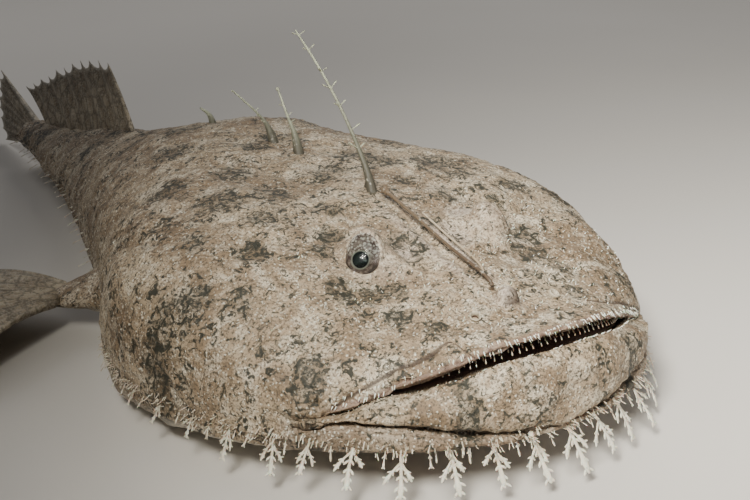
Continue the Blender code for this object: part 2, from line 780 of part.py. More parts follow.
def fin(name, ray_lines, thick_ray, thick_web, web_reach, rows, material):
    """A fin of rays and webs: ray_lines are functions of t from 0 at the root to 1 at the tip.

    Between two neighbouring rays the web is thinner and stops short of their tips. Both faces have
    the same triangles, so that they never cross.
    """
    columns = []
    depths = []
    for k, line in enumerate(ray_lines):
        columns.append([Vector(line(t / rows)) for t in range(rows + 1)])
        depths.append([thick_ray(t / rows) / 2 for t in range(rows + 1)])
        if k + 1 < len(ray_lines):
            after = ray_lines[k + 1]
            web = []
            for t in range(rows + 1):
                share = t / rows * web_reach
                web.append((Vector(line(share)) + Vector(after(share))) / 2)
            columns.append(web)
            depths.append([thick_web(t / rows) / 2 for t in range(rows + 1)])
    wide = len(columns)
    tall = rows + 1
    normals = []
    for i in range(wide):
        line = []
        for t in range(tall):
            across = columns[min(i + 1, wide - 1)][t] - columns[max(i - 1, 0)][t]
            along = columns[i][min(t + 1, rows)] - columns[i][max(t - 1, 0)]
            line.append(across.cross(along).normalized())
        normals.append(line)
    vertices = []
    for sign in (1, -1):
        for i in range(wide):
            for t in range(tall):
                vertices.append(columns[i][t] + normals[i][t] * depths[i][t] * sign)
    back = wide * tall
    faces = []
    for i in range(wide - 1):
        for t in range(rows):
            a = i * tall + t
            b = a + tall
            for face in ((a, b, b + 1), (a, b + 1, a + 1)):
                faces.append(face)
                faces.append(tuple(v + back for v in reversed(face)))
    rim = [i * tall for i in range(wide)] + [(wide - 1) * tall + t for t in range(1, tall)]
    rim += [i * tall + rows for i in range(wide - 2, -1, -1)] + [t for t in range(rows - 1, 0, -1)]
    for k, a in enumerate(rim):
        b = rim[(k + 1) % len(rim)]
        faces.append((b, a, a + back))
        faces.append((b, a + back, b + back))
    return mesh_object(name, vertices, faces, material, merge=False)


def blend(a, b, t):
    return Vector(a).lerp(Vector(b), t)


def arched(root, tip, lift):
    """A ray from root to tip that rises by the lift half way."""
    return lambda t: blend(root, tip, t) + Vector((0, 0, 4 * lift * t * (1 - t)))


def make_caudal(material):
    rays = []
    count = CAUDAL_RAYS
    for k in range(count):
        share = k / (count - 1)
        root = (0, TAIL_BACK + GAP, (0.023 + 0.026 * share) * L)
        spread = 2 * share - 1
        reach = (0.128 - 0.020 * spread * spread) * L
        tip = (0.004 * L * math.sin(2.2 * share), TAIL_BACK + reach, (0.046 + 0.042 * spread) * L)
        rays.append(arched(root, tip, 0.0))
    return fin("caudal_fin", rays, lambda t: 0.0062 - 0.0052 * t,
               lambda t: 0.0050 - 0.0042 * min(1.0, 1.6 * t), 0.95, 7, material)


def make_dorsal(tail_tree, material):
    rays = []
    for k in range(DORSAL_RAYS):
        share = k / (DORSAL_RAYS - 1)
        y = (0.605 + 0.225 * share) * L
        z = drop(tail_tree, 0.0, y) - 0.0015
        tall = 0.088 * L * (0.62 + 0.38 * math.sin(math.pi * (0.25 + 0.6 * share)))
        lean = math.radians(50 - 22 * share)
        tip = (0.006 * L * math.sin(3 * share), y + tall * math.cos(lean), z + tall * math.sin(lean))
        rays.append(arched((0, y, z), tip, 0.004 * L))
    return fin("dorsal_fin", rays, lambda t: 0.0030 - 0.0022 * t, lambda t: 0.0018 - 0.0011 * t, 0.9, 5,
               material)


def make_anal(tail_tree, material):
    rays = []
    for k in range(ANAL_RAYS):
        share = k / (ANAL_RAYS - 1)
        y = (0.650 + 0.150 * share) * L
        z = -drop(tail_tree, 0.0, y, -1) + 0.0010
        tip = (0.0, y + 0.040 * L, 0.0026 + 0.003 * L * share)
        rays.append(arched((0, y, z), tip, -0.0008 * L))
    return fin("anal_fin", rays, lambda t: 0.0026 - 0.0018 * t, lambda t: 0.0016 - 0.0009 * t, 0.9, 3,
               material)


def tree_of(piece):
    points = [v.co for v in piece.data.vertices]
    return BVHTree.FromPolygons(points, [p.vertices for p in piece.data.polygons])


def drop(tree, x, y, sense=1):
    """Level of a piece's surface over (x, y), seen from above, or from below with sense -1 (negated)."""
    hit = tree.ray_cast(Vector((x, y, sense * L)), Vector((0, 0, -sense)))[0]
    return sense * hit.z


def make_arm(hand, torso, material):
    start = Vector((hand * ARM_START[0], ARM_START[1], ARM_START[2]))
    end = arm_end(hand)
    points = [blend(start, end, t) for t in (0, 0.35, 0.6, 0.85, 1)]
    sizes = [0.034 * L, 0.031 * L, 0.027 * L, 0.024 * L, 0.022 * L]
    side = "left" if hand > 0 else "right"
    arm = tube(f"pectoral_arm_{side}", points, sizes, 12, material, flatten=0.55)
    cut_clear(arm, torso)
    return arm


def arm_end(hand):
    return Vector((hand * ARM_END[0], ARM_END[1], ARM_END[2]))


def make_pectoral(hand, arm, material):
    """The fan of the pectoral fin, spread over the floor from the end of the arm."""
    start = Vector((hand * ARM_START[0], ARM_START[1], ARM_START[2]))
    end = arm_end(hand)
    ahead = (end - start).normalized()
    across = ahead.cross(Vector((0, 0, 1))).normalized() * hand
    rays = []
    for k in range(PECTORAL_RAYS):
        share = k / (PECTORAL_RAYS - 1)
        spread = 2 * share - 1
        root = end - across * spread * 0.019 * L - ahead * 0.0015
        turn = math.radians(-38 + 112 * share)
        reach = (0.165 - 0.022 * spread * spread) * L
        tip = Vector((end.x + hand * reach * math.cos(turn), end.y + reach * math.sin(turn), 0.006 * L))
        tip.z += 0.012 * L * (1 - share)
        rays.append(arched(root, tip, 0.010 * L))
    side = "left" if hand > 0 else "right"
    fan = fin(f"pectoral_fin_{side}", rays, lambda t: 0.0052 - 0.0042 * t,
              lambda t: 0.0040 - 0.0032 * min(1.0, 2 * t), 0.94, 5, material)
    cut_clear(fan, arm)
    return fan


def make_pelvic(hand, material):
    """A short thick fin of five rays that lies between the throat and the floor."""
    rays = []
    for k in range(PELVIC_RAYS):
        share = k / (PELVIC_RAYS - 1)
        root = Vector((hand * (0.040 + 0.022 * share) * L, (0.150 + 0.016 * share) * L, 0.0))
        turn = math.radians(100 - 62 * share)
        reach = (0.060 + 0.010 * math.sin(math.pi * share)) * L
        tip = root + Vector((hand * reach * math.cos(turn), -reach * math.sin(turn), 0.0))
        rays.append(under_throat(root, tip))
    side = "left" if hand > 0 else "right"
    return fin(f"pelvic_fin_{side}", rays, lambda t: 0.0038 - 0.0024 * t, lambda t: 0.0026 - 0.0016 * t,
               0.9, 4, material)


def under_throat(root, tip):
    """A ray that starts against the throat and comes down to the floor."""
    def line(t):
        point = blend(root, tip, t)
        under = polar_under(point.x, point.y)
        point.z = (under - THROAT_CLEARANCE) * (1 - t) + 0.0018 * t
        return point
    return line


def polar_under(x, y):
    angle = math.atan2(x / HEAD_HALF_WIDTH, (HEAD_CENTRE - y) / FRONT_REACH)
    radius = math.hypot(x / HEAD_HALF_WIDTH, (HEAD_CENTRE - y) / FRONT_REACH)
    return under_height(angle, radius)


def make_spine(name, line, radii, sides, host, material, extras=()):
    """A spine of the back: a tapered rod seated on its host, with any leaflets joined to it."""
    spine = tube(name, [(x * L, y * L, z * L) for x, y, z in line], radii, sides, material, up=(1, 0, 0.01))
    if extras:
        apply_boolean(spine, "UNION", list(extras))
    cut_clear(spine, host)
    return spine


def leaflets(line, material):
    """Small leaves in pairs up the third spine, each sunk in the rod."""
    leaves = []
    low = Vector(line[1]) * L
    middle = Vector(line[2]) * L
    top = Vector(line[-1]) * L
    for k in range(LEAF_PAIRS):
        share = (k + 0.6) / LEAF_PAIRS
        root = blend(low, middle, 2 * share) if share < 0.5 else blend(middle, top, 2 * share - 1)
        for hand in (-1, 1):
            size = LEAF_LENGTH * (1.0 - 0.45 * share) * (1.0 + 0.2 * math.sin(3 * k + hand))
            out = Vector((hand * 0.9, 0.25 * math.cos(2 * k), 0.55)).normalized()
            points = [root - out * 0.0005, root + out * size * 0.6, root + out * size]
            leaves.append(tube(f"leaf{k}{hand}", points, [0.0005, 0.0009, 0.0004], 3, material, up=(0, 1, 0)))
    return leaves


def main():
    for old in list(bpy.data.objects):
        bpy.data.objects.remove(old, do_unlink=True)
    skin = paint("skin", (0.44, 0.38, 0.29), 0.6)
    pale = paint("pale_skin", (0.62, 0.57, 0.48), 0.55)
    tooth = paint("tooth", (0.75, 0.70, 0.58), 0.35)
    fin_skin = paint("fin_skin", (0.33, 0.29, 0.22), 0.55)
    iris = paint("eye", (0.10, 0.08, 0.05), 0.12)
    spine_skin = paint("spine_skin", (0.36, 0.32, 0.25), 0.55)

    head = make_head(skin)
    torso = make_body_length("torso", NECK_BACK + GAP / 2, TORSO_BACK - GAP / 2, 9, BODY_POINTS, skin)
    tail = make_body_length("tail", TORSO_BACK + GAP / 2, TAIL_BACK, 9, 24, skin)
    tail_tree = tree_of(tail)
    upper_jaw = make_upper_jaw(skin)
    lower_jaw = make_lower_jaw(skin)
    pieces = [head, upper_jaw, lower_jaw, torso, tail]
    for hand, side in ((1, "left"), (-1, "right")):
        arm = make_arm(hand, torso, skin)
        pieces += [arm, make_pectoral(hand, arm, fin_skin)]
        pieces.append(make_pelvic(hand, fin_skin))
        pieces.append(make_eye(hand, f"eye_{side}", iris))
    pieces.append(make_caudal(fin_skin))
    dorsal = make_dorsal(tail_tree, fin_skin)
    cut_clear(dorsal, tail)
    anal = make_anal(tail_tree, fin_skin)
    cut_clear(anal, tail)
    pieces += [dorsal, anal]
    pieces.append(make_spine("illicium", ILLICIUM, [0.0022, 0.0017, 0.0013, 0.0012, 0.0026, 0.0012], 6,
                             head, spine_skin))
    pieces.append(make_spine("spine_2", SPINE_2, [0.0020, 0.0016, 0.0012, 0.0008], 6, head, spine_skin))
    pieces.append(make_spine("spine_3", SPINE_3, [0.0040, 0.0030, 0.0013, 0.0010, 0.0007], 6, head,
                             spine_skin, leaflets(SPINE_3, pale)))
    pieces.append(make_spine("spine_4", SPINE_4, [0.0052, 0.0030, 0.0012, 0.0015], 6, torso, spine_skin))
    pieces.append(make_spine("spine_5", SPINE_5, [0.0052, 0.0030, 0.0011, 0.0007], 6, torso, spine_skin))
    pieces.append(make_spine("spine_6", SPINE_6, [0.0036, 0.0020, 0.0007], 6, torso, spine_skin))

    apply_boolean(head, "UNION", head_forms(skin))
    cut_sockets(head, skin)
    fringe = {"head": [], "lower_jaw": []}
    for index, place in enumerate(fringe_places()):
        spare = abs(abs(place[0]) - MOUTH_ANGLE) * HEAD_HALF_WIDTH - place[2] / 2
        if spare > 0.001:
            owner = "lower_jaw" if abs(place[0]) < MOUTH_ANGLE else "head"
            fringe[owner].append(fringe_flap(index, place, pale))
    apply_boolean(head, "UNION", fringe["head"])
    apply_boolean(lower_jaw, "UNION", fringe["lower_jaw"] + lower_teeth(tooth))
    apply_boolean(upper_jaw, "UNION", upper_teeth(tooth))
    torso_flaps = []
    tail_flaps = []
    for k in range(SIDE_FLAPS):
        y = (0.50 + 0.035 * k) * L
        if abs(y - TORSO_BACK) < 0.006:
            continue
        for hand in (-1, 1):
            group = torso_flaps if y < TORSO_BACK else tail_flaps
            group.append(side_flap(f"{k}{hand}", y, hand, pale))
    apply_boolean(torso, "UNION", torso_flaps)
    apply_boolean(tail, "UNION", tail_flaps)

    carrier = bpy.data.objects.new("goosefish", None)
    bpy.context.scene.collection.objects.link(carrier)
    carrier.location = (0, -ORIGIN_BACK, 0)
    for piece in pieces:
        piece.parent = carrier


main()
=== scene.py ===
# %% [markdown]
# # A goosefish at life size
# A goosefish is a flat bottom fish, nearly all head. It lies still and fishes with a lure on its snout.
# The solids of the model are already measured and packed. Here we dress them: one mottled skin over
# head, body and tail, then the eyes, the fringe of skin flaps, the lips, the lure, the spines and the fins.

# %% Load the measured solids
import random
from math import copysign, cos, exp, hypot, pi, radians, sin, sqrt

import bmesh
import bpy
import numpy as np
from mathutils import Matrix, Vector
from mathutils.bvhtree import BVHTree


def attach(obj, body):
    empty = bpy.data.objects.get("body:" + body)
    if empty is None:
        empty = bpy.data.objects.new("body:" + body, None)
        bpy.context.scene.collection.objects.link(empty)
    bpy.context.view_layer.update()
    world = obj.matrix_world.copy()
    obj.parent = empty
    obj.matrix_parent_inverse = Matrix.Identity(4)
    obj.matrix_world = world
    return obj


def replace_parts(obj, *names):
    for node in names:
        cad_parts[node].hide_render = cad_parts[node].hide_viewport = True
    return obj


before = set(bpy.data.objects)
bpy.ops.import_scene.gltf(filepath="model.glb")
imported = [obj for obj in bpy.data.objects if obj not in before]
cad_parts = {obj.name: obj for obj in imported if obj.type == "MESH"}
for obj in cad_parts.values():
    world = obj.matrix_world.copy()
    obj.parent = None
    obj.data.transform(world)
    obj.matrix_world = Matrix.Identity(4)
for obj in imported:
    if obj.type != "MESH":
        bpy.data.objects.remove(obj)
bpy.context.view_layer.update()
print("nodes to dress:", len(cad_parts))

# %% [markdown]
# ## The fish's own measures
# We work in the fish's own coordinates: x across, y back from the tip of the lower jaw, z up from the
# floor. Nearly every size is a share of the fish's length, so the whole fish grows from one number. An
# empty carries all pieces, and puts the middle of the fish at the origin, where the solids have it.

# %% Length, head and lips
FISH_LENGTH = 0.80
ORIGIN_BACK = 0.488 * FISH_LENGTH
HEAD_CENTRE = 0.23 * FISH_LENGTH
HEAD_HALF_WIDTH = 0.188 * FISH_LENGTH
FRONT_REACH = 0.23 * FISH_LENGTH
REAR_REACH = 0.17 * FISH_LENGTH
CROWN_HEIGHT = 0.1365 * FISH_LENGTH
TAIL_BACK = 0.87 * FISH_LENGTH
MOUTH_ANGLE = radians(50)
MOUTH_END = radians(45.5)
CHEEK_ANGLE = radians(66)
LIP_TURN_ANGLE = radians(28)
LIP_RADIUS = 0.94
LIP_CORNER_RADIUS = 0.982
LIP_INNER_FRONT = 0.86
LIP_INNER_GROWTH = 0.10
UNDERBITE = 0.022
LIP_CORNER_HEIGHT = 0.0455 * FISH_LENGTH
LIP_RISE = 0.042 * FISH_LENGTH
LIP_GAP = 0.0006 * FISH_LENGTH
GAPE = 0.0055 * FISH_LENGTH
GAPE_ANGLE = radians(36)
UPPER_LIP_DEPTH = 0.005 * FISH_LENGTH
CHIN_HEIGHT = 0.036 * FISH_LENGTH
RIM_HEIGHT = 0.030 * FISH_LENGTH
FOLD_FRONT = 0.0385 * FISH_LENGTH
FOLD_RISE = 0.0135 * FISH_LENGTH
FOLD_ANGLE = radians(40)
THROAT_LIFT = 0.024 * FISH_LENGTH
THROAT_BACK = 0.215 * FISH_LENGTH
THROAT_FRONT = 0.110 * FISH_LENGTH
FLOOR_FLATNESS = 1.04
CHIN_FULLNESS = 1.3
STATIONS = np.array([
    (0.23, 0.1880, 0.1365, 0.030, 0.000, 3.4, 4.0),
    (0.30, 0.1713, 0.1400, 0.031, 0.000, 3.1, 4.0),
    (0.34, 0.1510, 0.1425, 0.033, 0.000, 3.0, 4.0),
    (0.40, 0.1300, 0.1420, 0.036, 0.000, 2.8, 3.6),
    (0.50, 0.1000, 0.1220, 0.040, 0.000, 2.3, 3.0),
    (0.60, 0.0720, 0.0960, 0.040, 0.004, 2.0, 2.6),
    (0.70, 0.0510, 0.0770, 0.038, 0.012, 2.0, 2.2),
    (0.80, 0.0340, 0.0600, 0.036, 0.018, 2.0, 2.0),
    (0.87, 0.0240, 0.0520, 0.035, 0.020, 2.0, 2.0),
])

MIRROR = {hand: np.array([hand, 1, 1]) for hand in (-1, 1)}


def add_object(name, data):
    thing = bpy.data.objects.new(name, data)
    bpy.context.scene.collection.objects.link(thing)
    return thing


fish = add_object("fish", None)
fish.location = (0, -ORIGIN_BACK, 0)
print("fish length", FISH_LENGTH, "m")

# %% [markdown]
# ## The camera
# The camera comes first, so that every picture has the photograph's framing. It looks down at the
# right side of the face from the front, from about 0.7 m away. A camera's own axes are right, up and
# back, so we work those three out from the compass angle, the height angle and a small roll.

# %% Set up the camera
CAMERA_TURN = radians(-34.73)
CAMERA_HEIGHT = radians(19.87)
CAMERA_ROLL = radians(-0.40)
CAMERA_PLACE = Vector((-0.498, -0.515, 0.406)) * FISH_LENGTH
SENSOR_WIDTH = 36.0
FOCUS_PIXELS = 1301.0
PICTURE_WIDTH = 750.0


def camera_matrix():
    """The photograph's viewpoint in the fish's coordinates."""
    level = cos(CAMERA_HEIGHT)
    back = Vector((sin(CAMERA_TURN) * level, -cos(CAMERA_TURN) * level, sin(CAMERA_HEIGHT)))
    right = Vector((cos(CAMERA_TURN), sin(CAMERA_TURN), 0))
    up = back.cross(right)
    rolled_right = right * cos(CAMERA_ROLL) + up * sin(CAMERA_ROLL)
    rolled_up = up * cos(CAMERA_ROLL) - right * sin(CAMERA_ROLL)
    turned = Matrix((rolled_right, rolled_up, back)).transposed().to_4x4()
    return Matrix.Translation(CAMERA_PLACE + fish.location) @ turned


camera = add_object("camera", bpy.data.cameras.new("camera"))
bpy.context.scene.camera = camera
camera.matrix_world = camera_matrix()
camera.data.sensor_width = SENSOR_WIDTH
camera.data.lens = FOCUS_PIXELS * SENSOR_WIDTH / PICTURE_WIDTH
camera.data.clip_start = 0.01
print("lens", round(camera.data.lens, 2), "mm")

# %% [markdown]
# ## Curves that give the body its form
# The head is an oval seen from above, and the body behind it is a row of cross sections. Between two
# stations a smooth curve fills in. We could sculpt all this by hand, but formulas let the skin fit the
# solids exactly, since both follow the same numbers.

# %% Smooth steps and cross sections
def ramp(t):
    """0 to 1 with level ends."""
    t = np.clip(t, 0.0, 1.0)
    return t * t * (3 - 2 * t)


def bulge(r, fullness):
    """1 at the middle and 0 at the edge, fuller towards the edge the larger the fullness."""
    return np.maximum(0.0, 1 - np.minimum(np.abs(r), 1.0) ** fullness) ** (1 / fullness)


def smooth_columns(table, s):
    """The table's values at s, by a monotone cubic through its rows."""
    xs = table[:, 0]
    ys = table[:, 1:]
    rise = np.diff(ys, axis=0) / np.diff(xs)[:, None]
    slope = np.zeros_like(ys)
    for k in range(1, len(xs) - 1):
        same = rise[k - 1] * rise[k] > 0
        slope[k] = np.where(same, 2 * rise[k - 1] * rise[k] / np.where(same, rise[k - 1] + rise[k], 1), 0)
    slope[0] = rise[0]
    slope[-1] = rise[-1]
    k = int(np.clip(np.searchsorted(xs, s) - 1, 0, len(xs) - 2))
    h = xs[k + 1] - xs[k]
    t = (s - xs[k]) / h
    start = (1 + 2 * t) * (1 - t) ** 2 * ys[k] + t * (1 - t) ** 2 * h * slope[k]
    end = t * t * (3 - 2 * t) * ys[k + 1] + t * t * (t - 1) * h * slope[k + 1]
    return start + end


def station(y):
    """Half width, top, widest level, keel and fullness of the body at y, in metres."""
    width, top, level, keel, above, below = smooth_columns(STATIONS, y / FISH_LENGTH)
    if y < 0.31 * FISH_LENGTH:
        width = HEAD_HALF_WIDTH / FISH_LENGTH * sqrt(1 - ((y - HEAD_CENTRE) / REAR_REACH) ** 2)
    return (width * FISH_LENGTH, top * FISH_LENGTH, level * FISH_LENGTH, keel * FISH_LENGTH, above, below)


def section_lines(y):
    """One side of the body cut across at y: the line under it, outwards, and the line over it, inwards."""
    width, top, level, keel, above, below = station(y)
    turn = np.linspace(0, np.pi / 2, 160)
    under_x = width * np.sin(turn) ** (2 / below)
    under_z = keel + (level - keel) * (1 - FLOOR_FLATNESS * bulge(under_x / width, below))
    under = np.stack([under_x, np.full_like(turn, y), np.maximum(keel, under_z)], axis=1)
    over_x = width * np.cos(turn) ** (2 / above)
    over_z = level + (top - level) * bulge(over_x / width, above)
    over = np.stack([over_x, np.full_like(turn, y), over_z], axis=1)
    return under, over


print("half width at the neck", round(station(0.3 * FISH_LENGTH)[0], 4))

# %% [markdown]
# ## The mouth
# The mouth is a wide crescent. Both lips follow the oval of the head, and they rise from the corners to
# the front, the lower jaw a little ahead. Each place on the head has an angle round the oval, 0 at the
# front, and a radius, 1 at the rim. So a lip is just two functions of the angle: how far out, how high.

# %% Lips, dome and underside of the head
def lower_lip_height(angle):
    turn = min(abs(angle) / MOUTH_ANGLE, 1.0)
    return LIP_CORNER_HEIGHT + LIP_RISE * cos(turn * pi / 2)


def upper_lip_height(angle):
    opening = max(0.0, cos(min(abs(angle) / GAPE_ANGLE, 1.0) * pi / 2))
    return lower_lip_height(angle) + GAPE * opening + LIP_GAP


def lip_radius(angle):
    """Radius of the upper lip's edge, running out to the rim of the head behind the mouth's corner."""
    a = abs(angle)
    if a <= MOUTH_ANGLE:
        turned_out = ramp((a - LIP_TURN_ANGLE) / (MOUTH_ANGLE - LIP_TURN_ANGLE))
        return LIP_RADIUS + (LIP_CORNER_RADIUS - LIP_RADIUS) * turned_out
    return LIP_CORNER_RADIUS + (1 - LIP_CORNER_RADIUS) * ramp((a - MOUTH_ANGLE) / (CHEEK_ANGLE - MOUTH_ANGLE))


def lip_inner_radius(angle):
    """Radius at which the upper lip's thickness ends and the palate begins."""
    return LIP_INNER_FRONT + LIP_INNER_GROWTH * min(abs(angle) / MOUTH_END, 1.0) ** 2


def lower_lip_radius(angle):
    """The lower lip stands ahead of the upper one, less and less towards the corner."""
    ahead = UNDERBITE * (1 - 1.1 * float(ramp((abs(angle) - radians(20)) / radians(16))))
    return min(lip_radius(angle) + ahead, 1.0)


def margin_height(angle):
    """Level of the head's widest edge, which the fringe hangs from."""
    past_fold = ramp((abs(angle) - FOLD_ANGLE) / (pi / 2 - FOLD_ANGLE))
    return CHIN_HEIGHT + (RIM_HEIGHT - CHIN_HEIGHT) * past_fold


def dome_edge(angle):
    """Level where the dome of the head begins."""
    a = abs(angle)
    if a <= MOUTH_ANGLE:
        return upper_lip_height(a) + UPPER_LIP_DEPTH * (1 - 0.6 * a / MOUTH_ANGLE)
    corner = upper_lip_height(MOUTH_ANGLE) + 0.4 * UPPER_LIP_DEPTH
    return corner + (margin_height(a) - corner) * ramp((a - MOUTH_ANGLE) / (CHEEK_ANGLE - MOUTH_ANGLE))


def dome_height(angle, radius):
    """Top of the head in front of its centre, for an array of radii."""
    share = abs(sin(angle)) ** 1.6
    r = np.minimum(radius / lip_radius(angle), 1.0)
    edge = dome_edge(angle)
    full = share * bulge(r, STATIONS[0, 5]) + (1 - share) * (1 + np.cos(np.pi * r)) / 2
    return edge + (CROWN_HEIGHT - edge) * full


def plan_points(angle, radius, z):
    """Points of the head from radii and heights at one angle."""
    radius = np.asarray(radius, float)
    x = HEAD_HALF_WIDTH * radius * sin(angle)
    y = HEAD_CENTRE - FRONT_REACH * radius * cos(angle)
    return np.stack([x, y, np.broadcast_to(z, radius.shape)], axis=1)


def fold_height(angle):
    """Level of the deep fold between the lower jaw and the skin of the throat."""
    level = margin_height(angle)
    fold = FOLD_FRONT + FOLD_RISE * float(ramp(abs(angle) / FOLD_ANGLE))
    return min(fold, level + 0.8 * (lower_lip_height(angle) - level))


def under_height(angle, radius):
    """Underside of the head: flat on the floor, raised to the throat and chin."""
    fullness = CHIN_FULLNESS + (STATIONS[0, 6] - CHIN_FULLNESS) * abs(sin(angle)) ** 4
    level = margin_height(angle)
    y = HEAD_CENTRE - FRONT_REACH * radius * cos(angle)
    throat = THROAT_LIFT * ramp((THROAT_BACK - y) / (THROAT_BACK - THROAT_FRONT)) * bulge(radius, 2)
    raised = throat + (level - throat) * (1 - FLOOR_FLATNESS * bulge(radius, fullness))
    return np.maximum(0.0, np.maximum(throat, raised))


print("gape in front", round(upper_lip_height(0) - lower_lip_height(0), 4), "m")

# %% [markdown]
# ## One grid for the whole skin
# The skin is a grid: each column runs from the middle of the belly, round the rim of the head, over the
# lower lip, through the mouth, over the upper lip and up to the crown. Columns fan round the front of
# the head and carry on down each side of the body. A grid keeps the mesh even, so fine folds and warts
# can be pushed out of it later. Behind the mouth's corner the rows of the mouth shrink to one point.

# %% Tools for even rows
UNDER_ROWS = 24
WALL_ROWS = 34
MOUTH_ROWS = 40
OVER_ROWS = 168
CORNER_WALL = 0.0130
RIM_SHARE = 0.2


def rounded(line, times=3):
    """Cut the corners of a line again and again, with its ends kept."""
    line = np.asarray(line, float)
    for _ in range(times):
        near = 0.75 * line[:-1] + 0.25 * line[1:]
        far = 0.25 * line[:-1] + 0.75 * line[1:]
        middle = np.stack([near, far], axis=1).reshape(-1, line.shape[1])
        line = np.vstack([line[:1], middle, line[-1:]])
    return line


def run_along(line):
    """How far along the line each of its points lies."""
    steps = np.linalg.norm(np.diff(line, axis=0), axis=1)
    return np.concatenate([[0], np.cumsum(steps)])


def spread(line, count):
    """count points at even steps along a line, both ends among them."""
    run = run_along(line)
    places = np.linspace(0, run[-1], count)
    return np.stack([np.interp(places, run, line[:, k]) for k in range(line.shape[1])], axis=1)


def split_line(line, length):
    """A line cut in two at a length along it."""
    run = run_along(line)
    cut = np.array([np.interp(length, run, line[:, k]) for k in range(3)])
    return np.vstack([line[run < length], cut]), np.vstack([cut, line[run > length]])


print("rows over the head", OVER_ROWS)

# %% Columns through the mouth
MOUTH_DEPTH = 0.014
MOUTH_RISE = 0.011
MOUTH_BACK = 0.62
MOUTH_BACK_GROWTH = 0.33
LIP_ROUNDING = 0.12
PALATE_DEPTH = 0.0012
LIP_FADE = radians(7)


def plan_line(angle, shape):
    """A rounded line through (radius, height) pairs at one angle."""
    radius, height = np.array(shape).T
    return rounded(plan_points(angle, radius, height))


def jaw_line(angle):
    """Outside of the lower jaw from the rim up over the fold to the lip."""
    lip = lower_lip_radius(angle)
    top = lower_lip_height(angle)
    level = margin_height(angle)
    fold = fold_height(angle)
    deep = 0.968 + 0.022 * float(ramp((abs(angle) - radians(38)) / radians(12)))
    shape = [(1.0, level), (1.002, 0.5 * level + 0.5 * fold), (0.998, fold - 0.0012), (deep, fold - 0.0003),
             (deep, fold + 0.0003), (1.002, fold + 0.0016), (1.008, 0.72 * fold + 0.28 * top),
             (1.008, 0.45 * fold + 0.55 * top), (1.0, 0.2 * fold + 0.8 * top),
             (0.5 + 0.5 * lip, 0.06 * fold + 0.94 * top), (lip, top)]
    return plan_line(angle, shape)


def mouth_line(angle):
    """Inside of the mouth from the lower lip, along the floor and back under the palate."""
    turn = min(abs(angle) / MOUTH_END, 1.0)
    depth = (MOUTH_DEPTH - MOUTH_RISE * turn) * FISH_LENGTH
    back = MOUTH_BACK + MOUTH_BACK_GROWTH * turn ** 2
    lip = lower_lip_radius(angle)
    inner = lip_inner_radius(angle)
    wide = lip_radius(angle) - inner
    top = lower_lip_height(angle)
    low = upper_lip_height(angle)
    palate = low - PALATE_DEPTH
    shape = [(lip, top), (lip - 0.015, top - 0.12 * depth), (lip - 0.03, top - 0.6 * depth),
             (min(lip - 0.05, back + 0.8 * (lip - back)), top - depth), (back, top - depth), (back, palate),
             (inner, palate), (lip_radius(angle) - 0.45 * wide, low + 0.3 * (palate - low)),
             (lip_radius(angle) - LIP_ROUNDING * wide, low)]
    return plan_line(angle, shape)


def over_line(angle, mouth):
    """The upper lip, or the side of the head behind it, and the dome up to the crown."""
    lip = lip_radius(angle)
    edge = dome_edge(angle)
    turns = np.linspace(np.pi / 2, 0, 160)
    radius = lip * np.sin(turns) ** (2 / STATIONS[0, 5])
    dome = plan_points(angle, radius, dome_height(angle, radius))
    if mouth:
        low = upper_lip_height(angle)
        wide = lip - lip_inner_radius(angle)
        shape = [(lip - LIP_ROUNDING * wide, low), (lip + 0.003, low + 0.1 * (edge - low)),
                 (lip + 0.005, low + 0.45 * (edge - low)), (lip + 0.002, low + 0.8 * (edge - low)),
                 (lip, edge)]
    else:
        level = margin_height(angle)
        rise = edge - level
        shape = [(1.0, level), (1 - 0.2 * (1 - lip), level + 0.35 * rise),
                 (1 - 0.6 * (1 - lip), level + 0.7 * rise), (lip, edge)]
    return np.vstack([plan_line(angle, shape), dome[1:]])


def under_line(angle):
    radius = np.sin(np.linspace(0, np.pi / 2, 120))
    return plan_points(angle, radius, under_height(angle, radius))


def mouth_column(angle):
    """Under, wall, mouth and over rows of one column that crosses the mouth."""
    return (spread(under_line(angle), UNDER_ROWS + 1), spread(jaw_line(angle), WALL_ROWS + 1),
            spread(mouth_line(angle), MOUTH_ROWS + 1), spread(over_line(angle, True), OVER_ROWS))


def plain_column(under, over):
    """Rows of a column without a mouth: its side line is split a little above the rim."""
    wall, rest = split_line(over, min(CORNER_WALL, RIM_SHARE * run_along(over)[-1]))
    return spread(under, UNDER_ROWS + 1), spread(wall, WALL_ROWS + 1), None, spread(rest, OVER_ROWS)


def cheek_column(angle):
    """A column of the head behind the mouth's corner, where the lips' shape fades into the cheek."""
    under, wall, _, over = plain_column(under_line(angle), over_line(angle, False))
    fade = 1 - float(ramp((abs(angle) - MOUTH_END) / LIP_FADE))
    if fade > 0:
        corner = copysign(MOUTH_END, angle)
        lips = mouth_column(corner)
        plain = plain_column(under_line(corner), over_line(corner, False))
        wall = wall + fade * (lips[1] - plain[1])
        over = over + fade * (lips[3] - plain[3])
        middle = (wall[-1] + over[0]) / 2
        wall = wall + np.linspace(0, 1, len(wall))[:, None] ** 2 * (middle - wall[-1])
        over = over + np.linspace(1, 0, len(over))[:, None] ** 12 * (middle - over[0])
    return under, wall, None, over


def body_column(y, hand):
    under, over = section_lines(y)
    side = MIRROR[hand]
    return plain_column(under * side, over * side)


print("rows in a mouth column", UNDER_ROWS + WALL_ROWS + MOUTH_ROWS + OVER_ROWS)

# %% [markdown]
# Now the columns are laid side by side: the right side of the body from the tail forwards, the fan round
# the front of the head, and the left side back to the tail. Rows that meet along the back, the belly and
# at the crown share their points, so the skin is one closed bag with no seam.

# %% Sew the columns into one bag
HEAD_COLUMNS = 380
NEAR_RINGS = 150
TAIL_RINGS = 110
TAIL_START = 0.47 * FISH_LENGTH


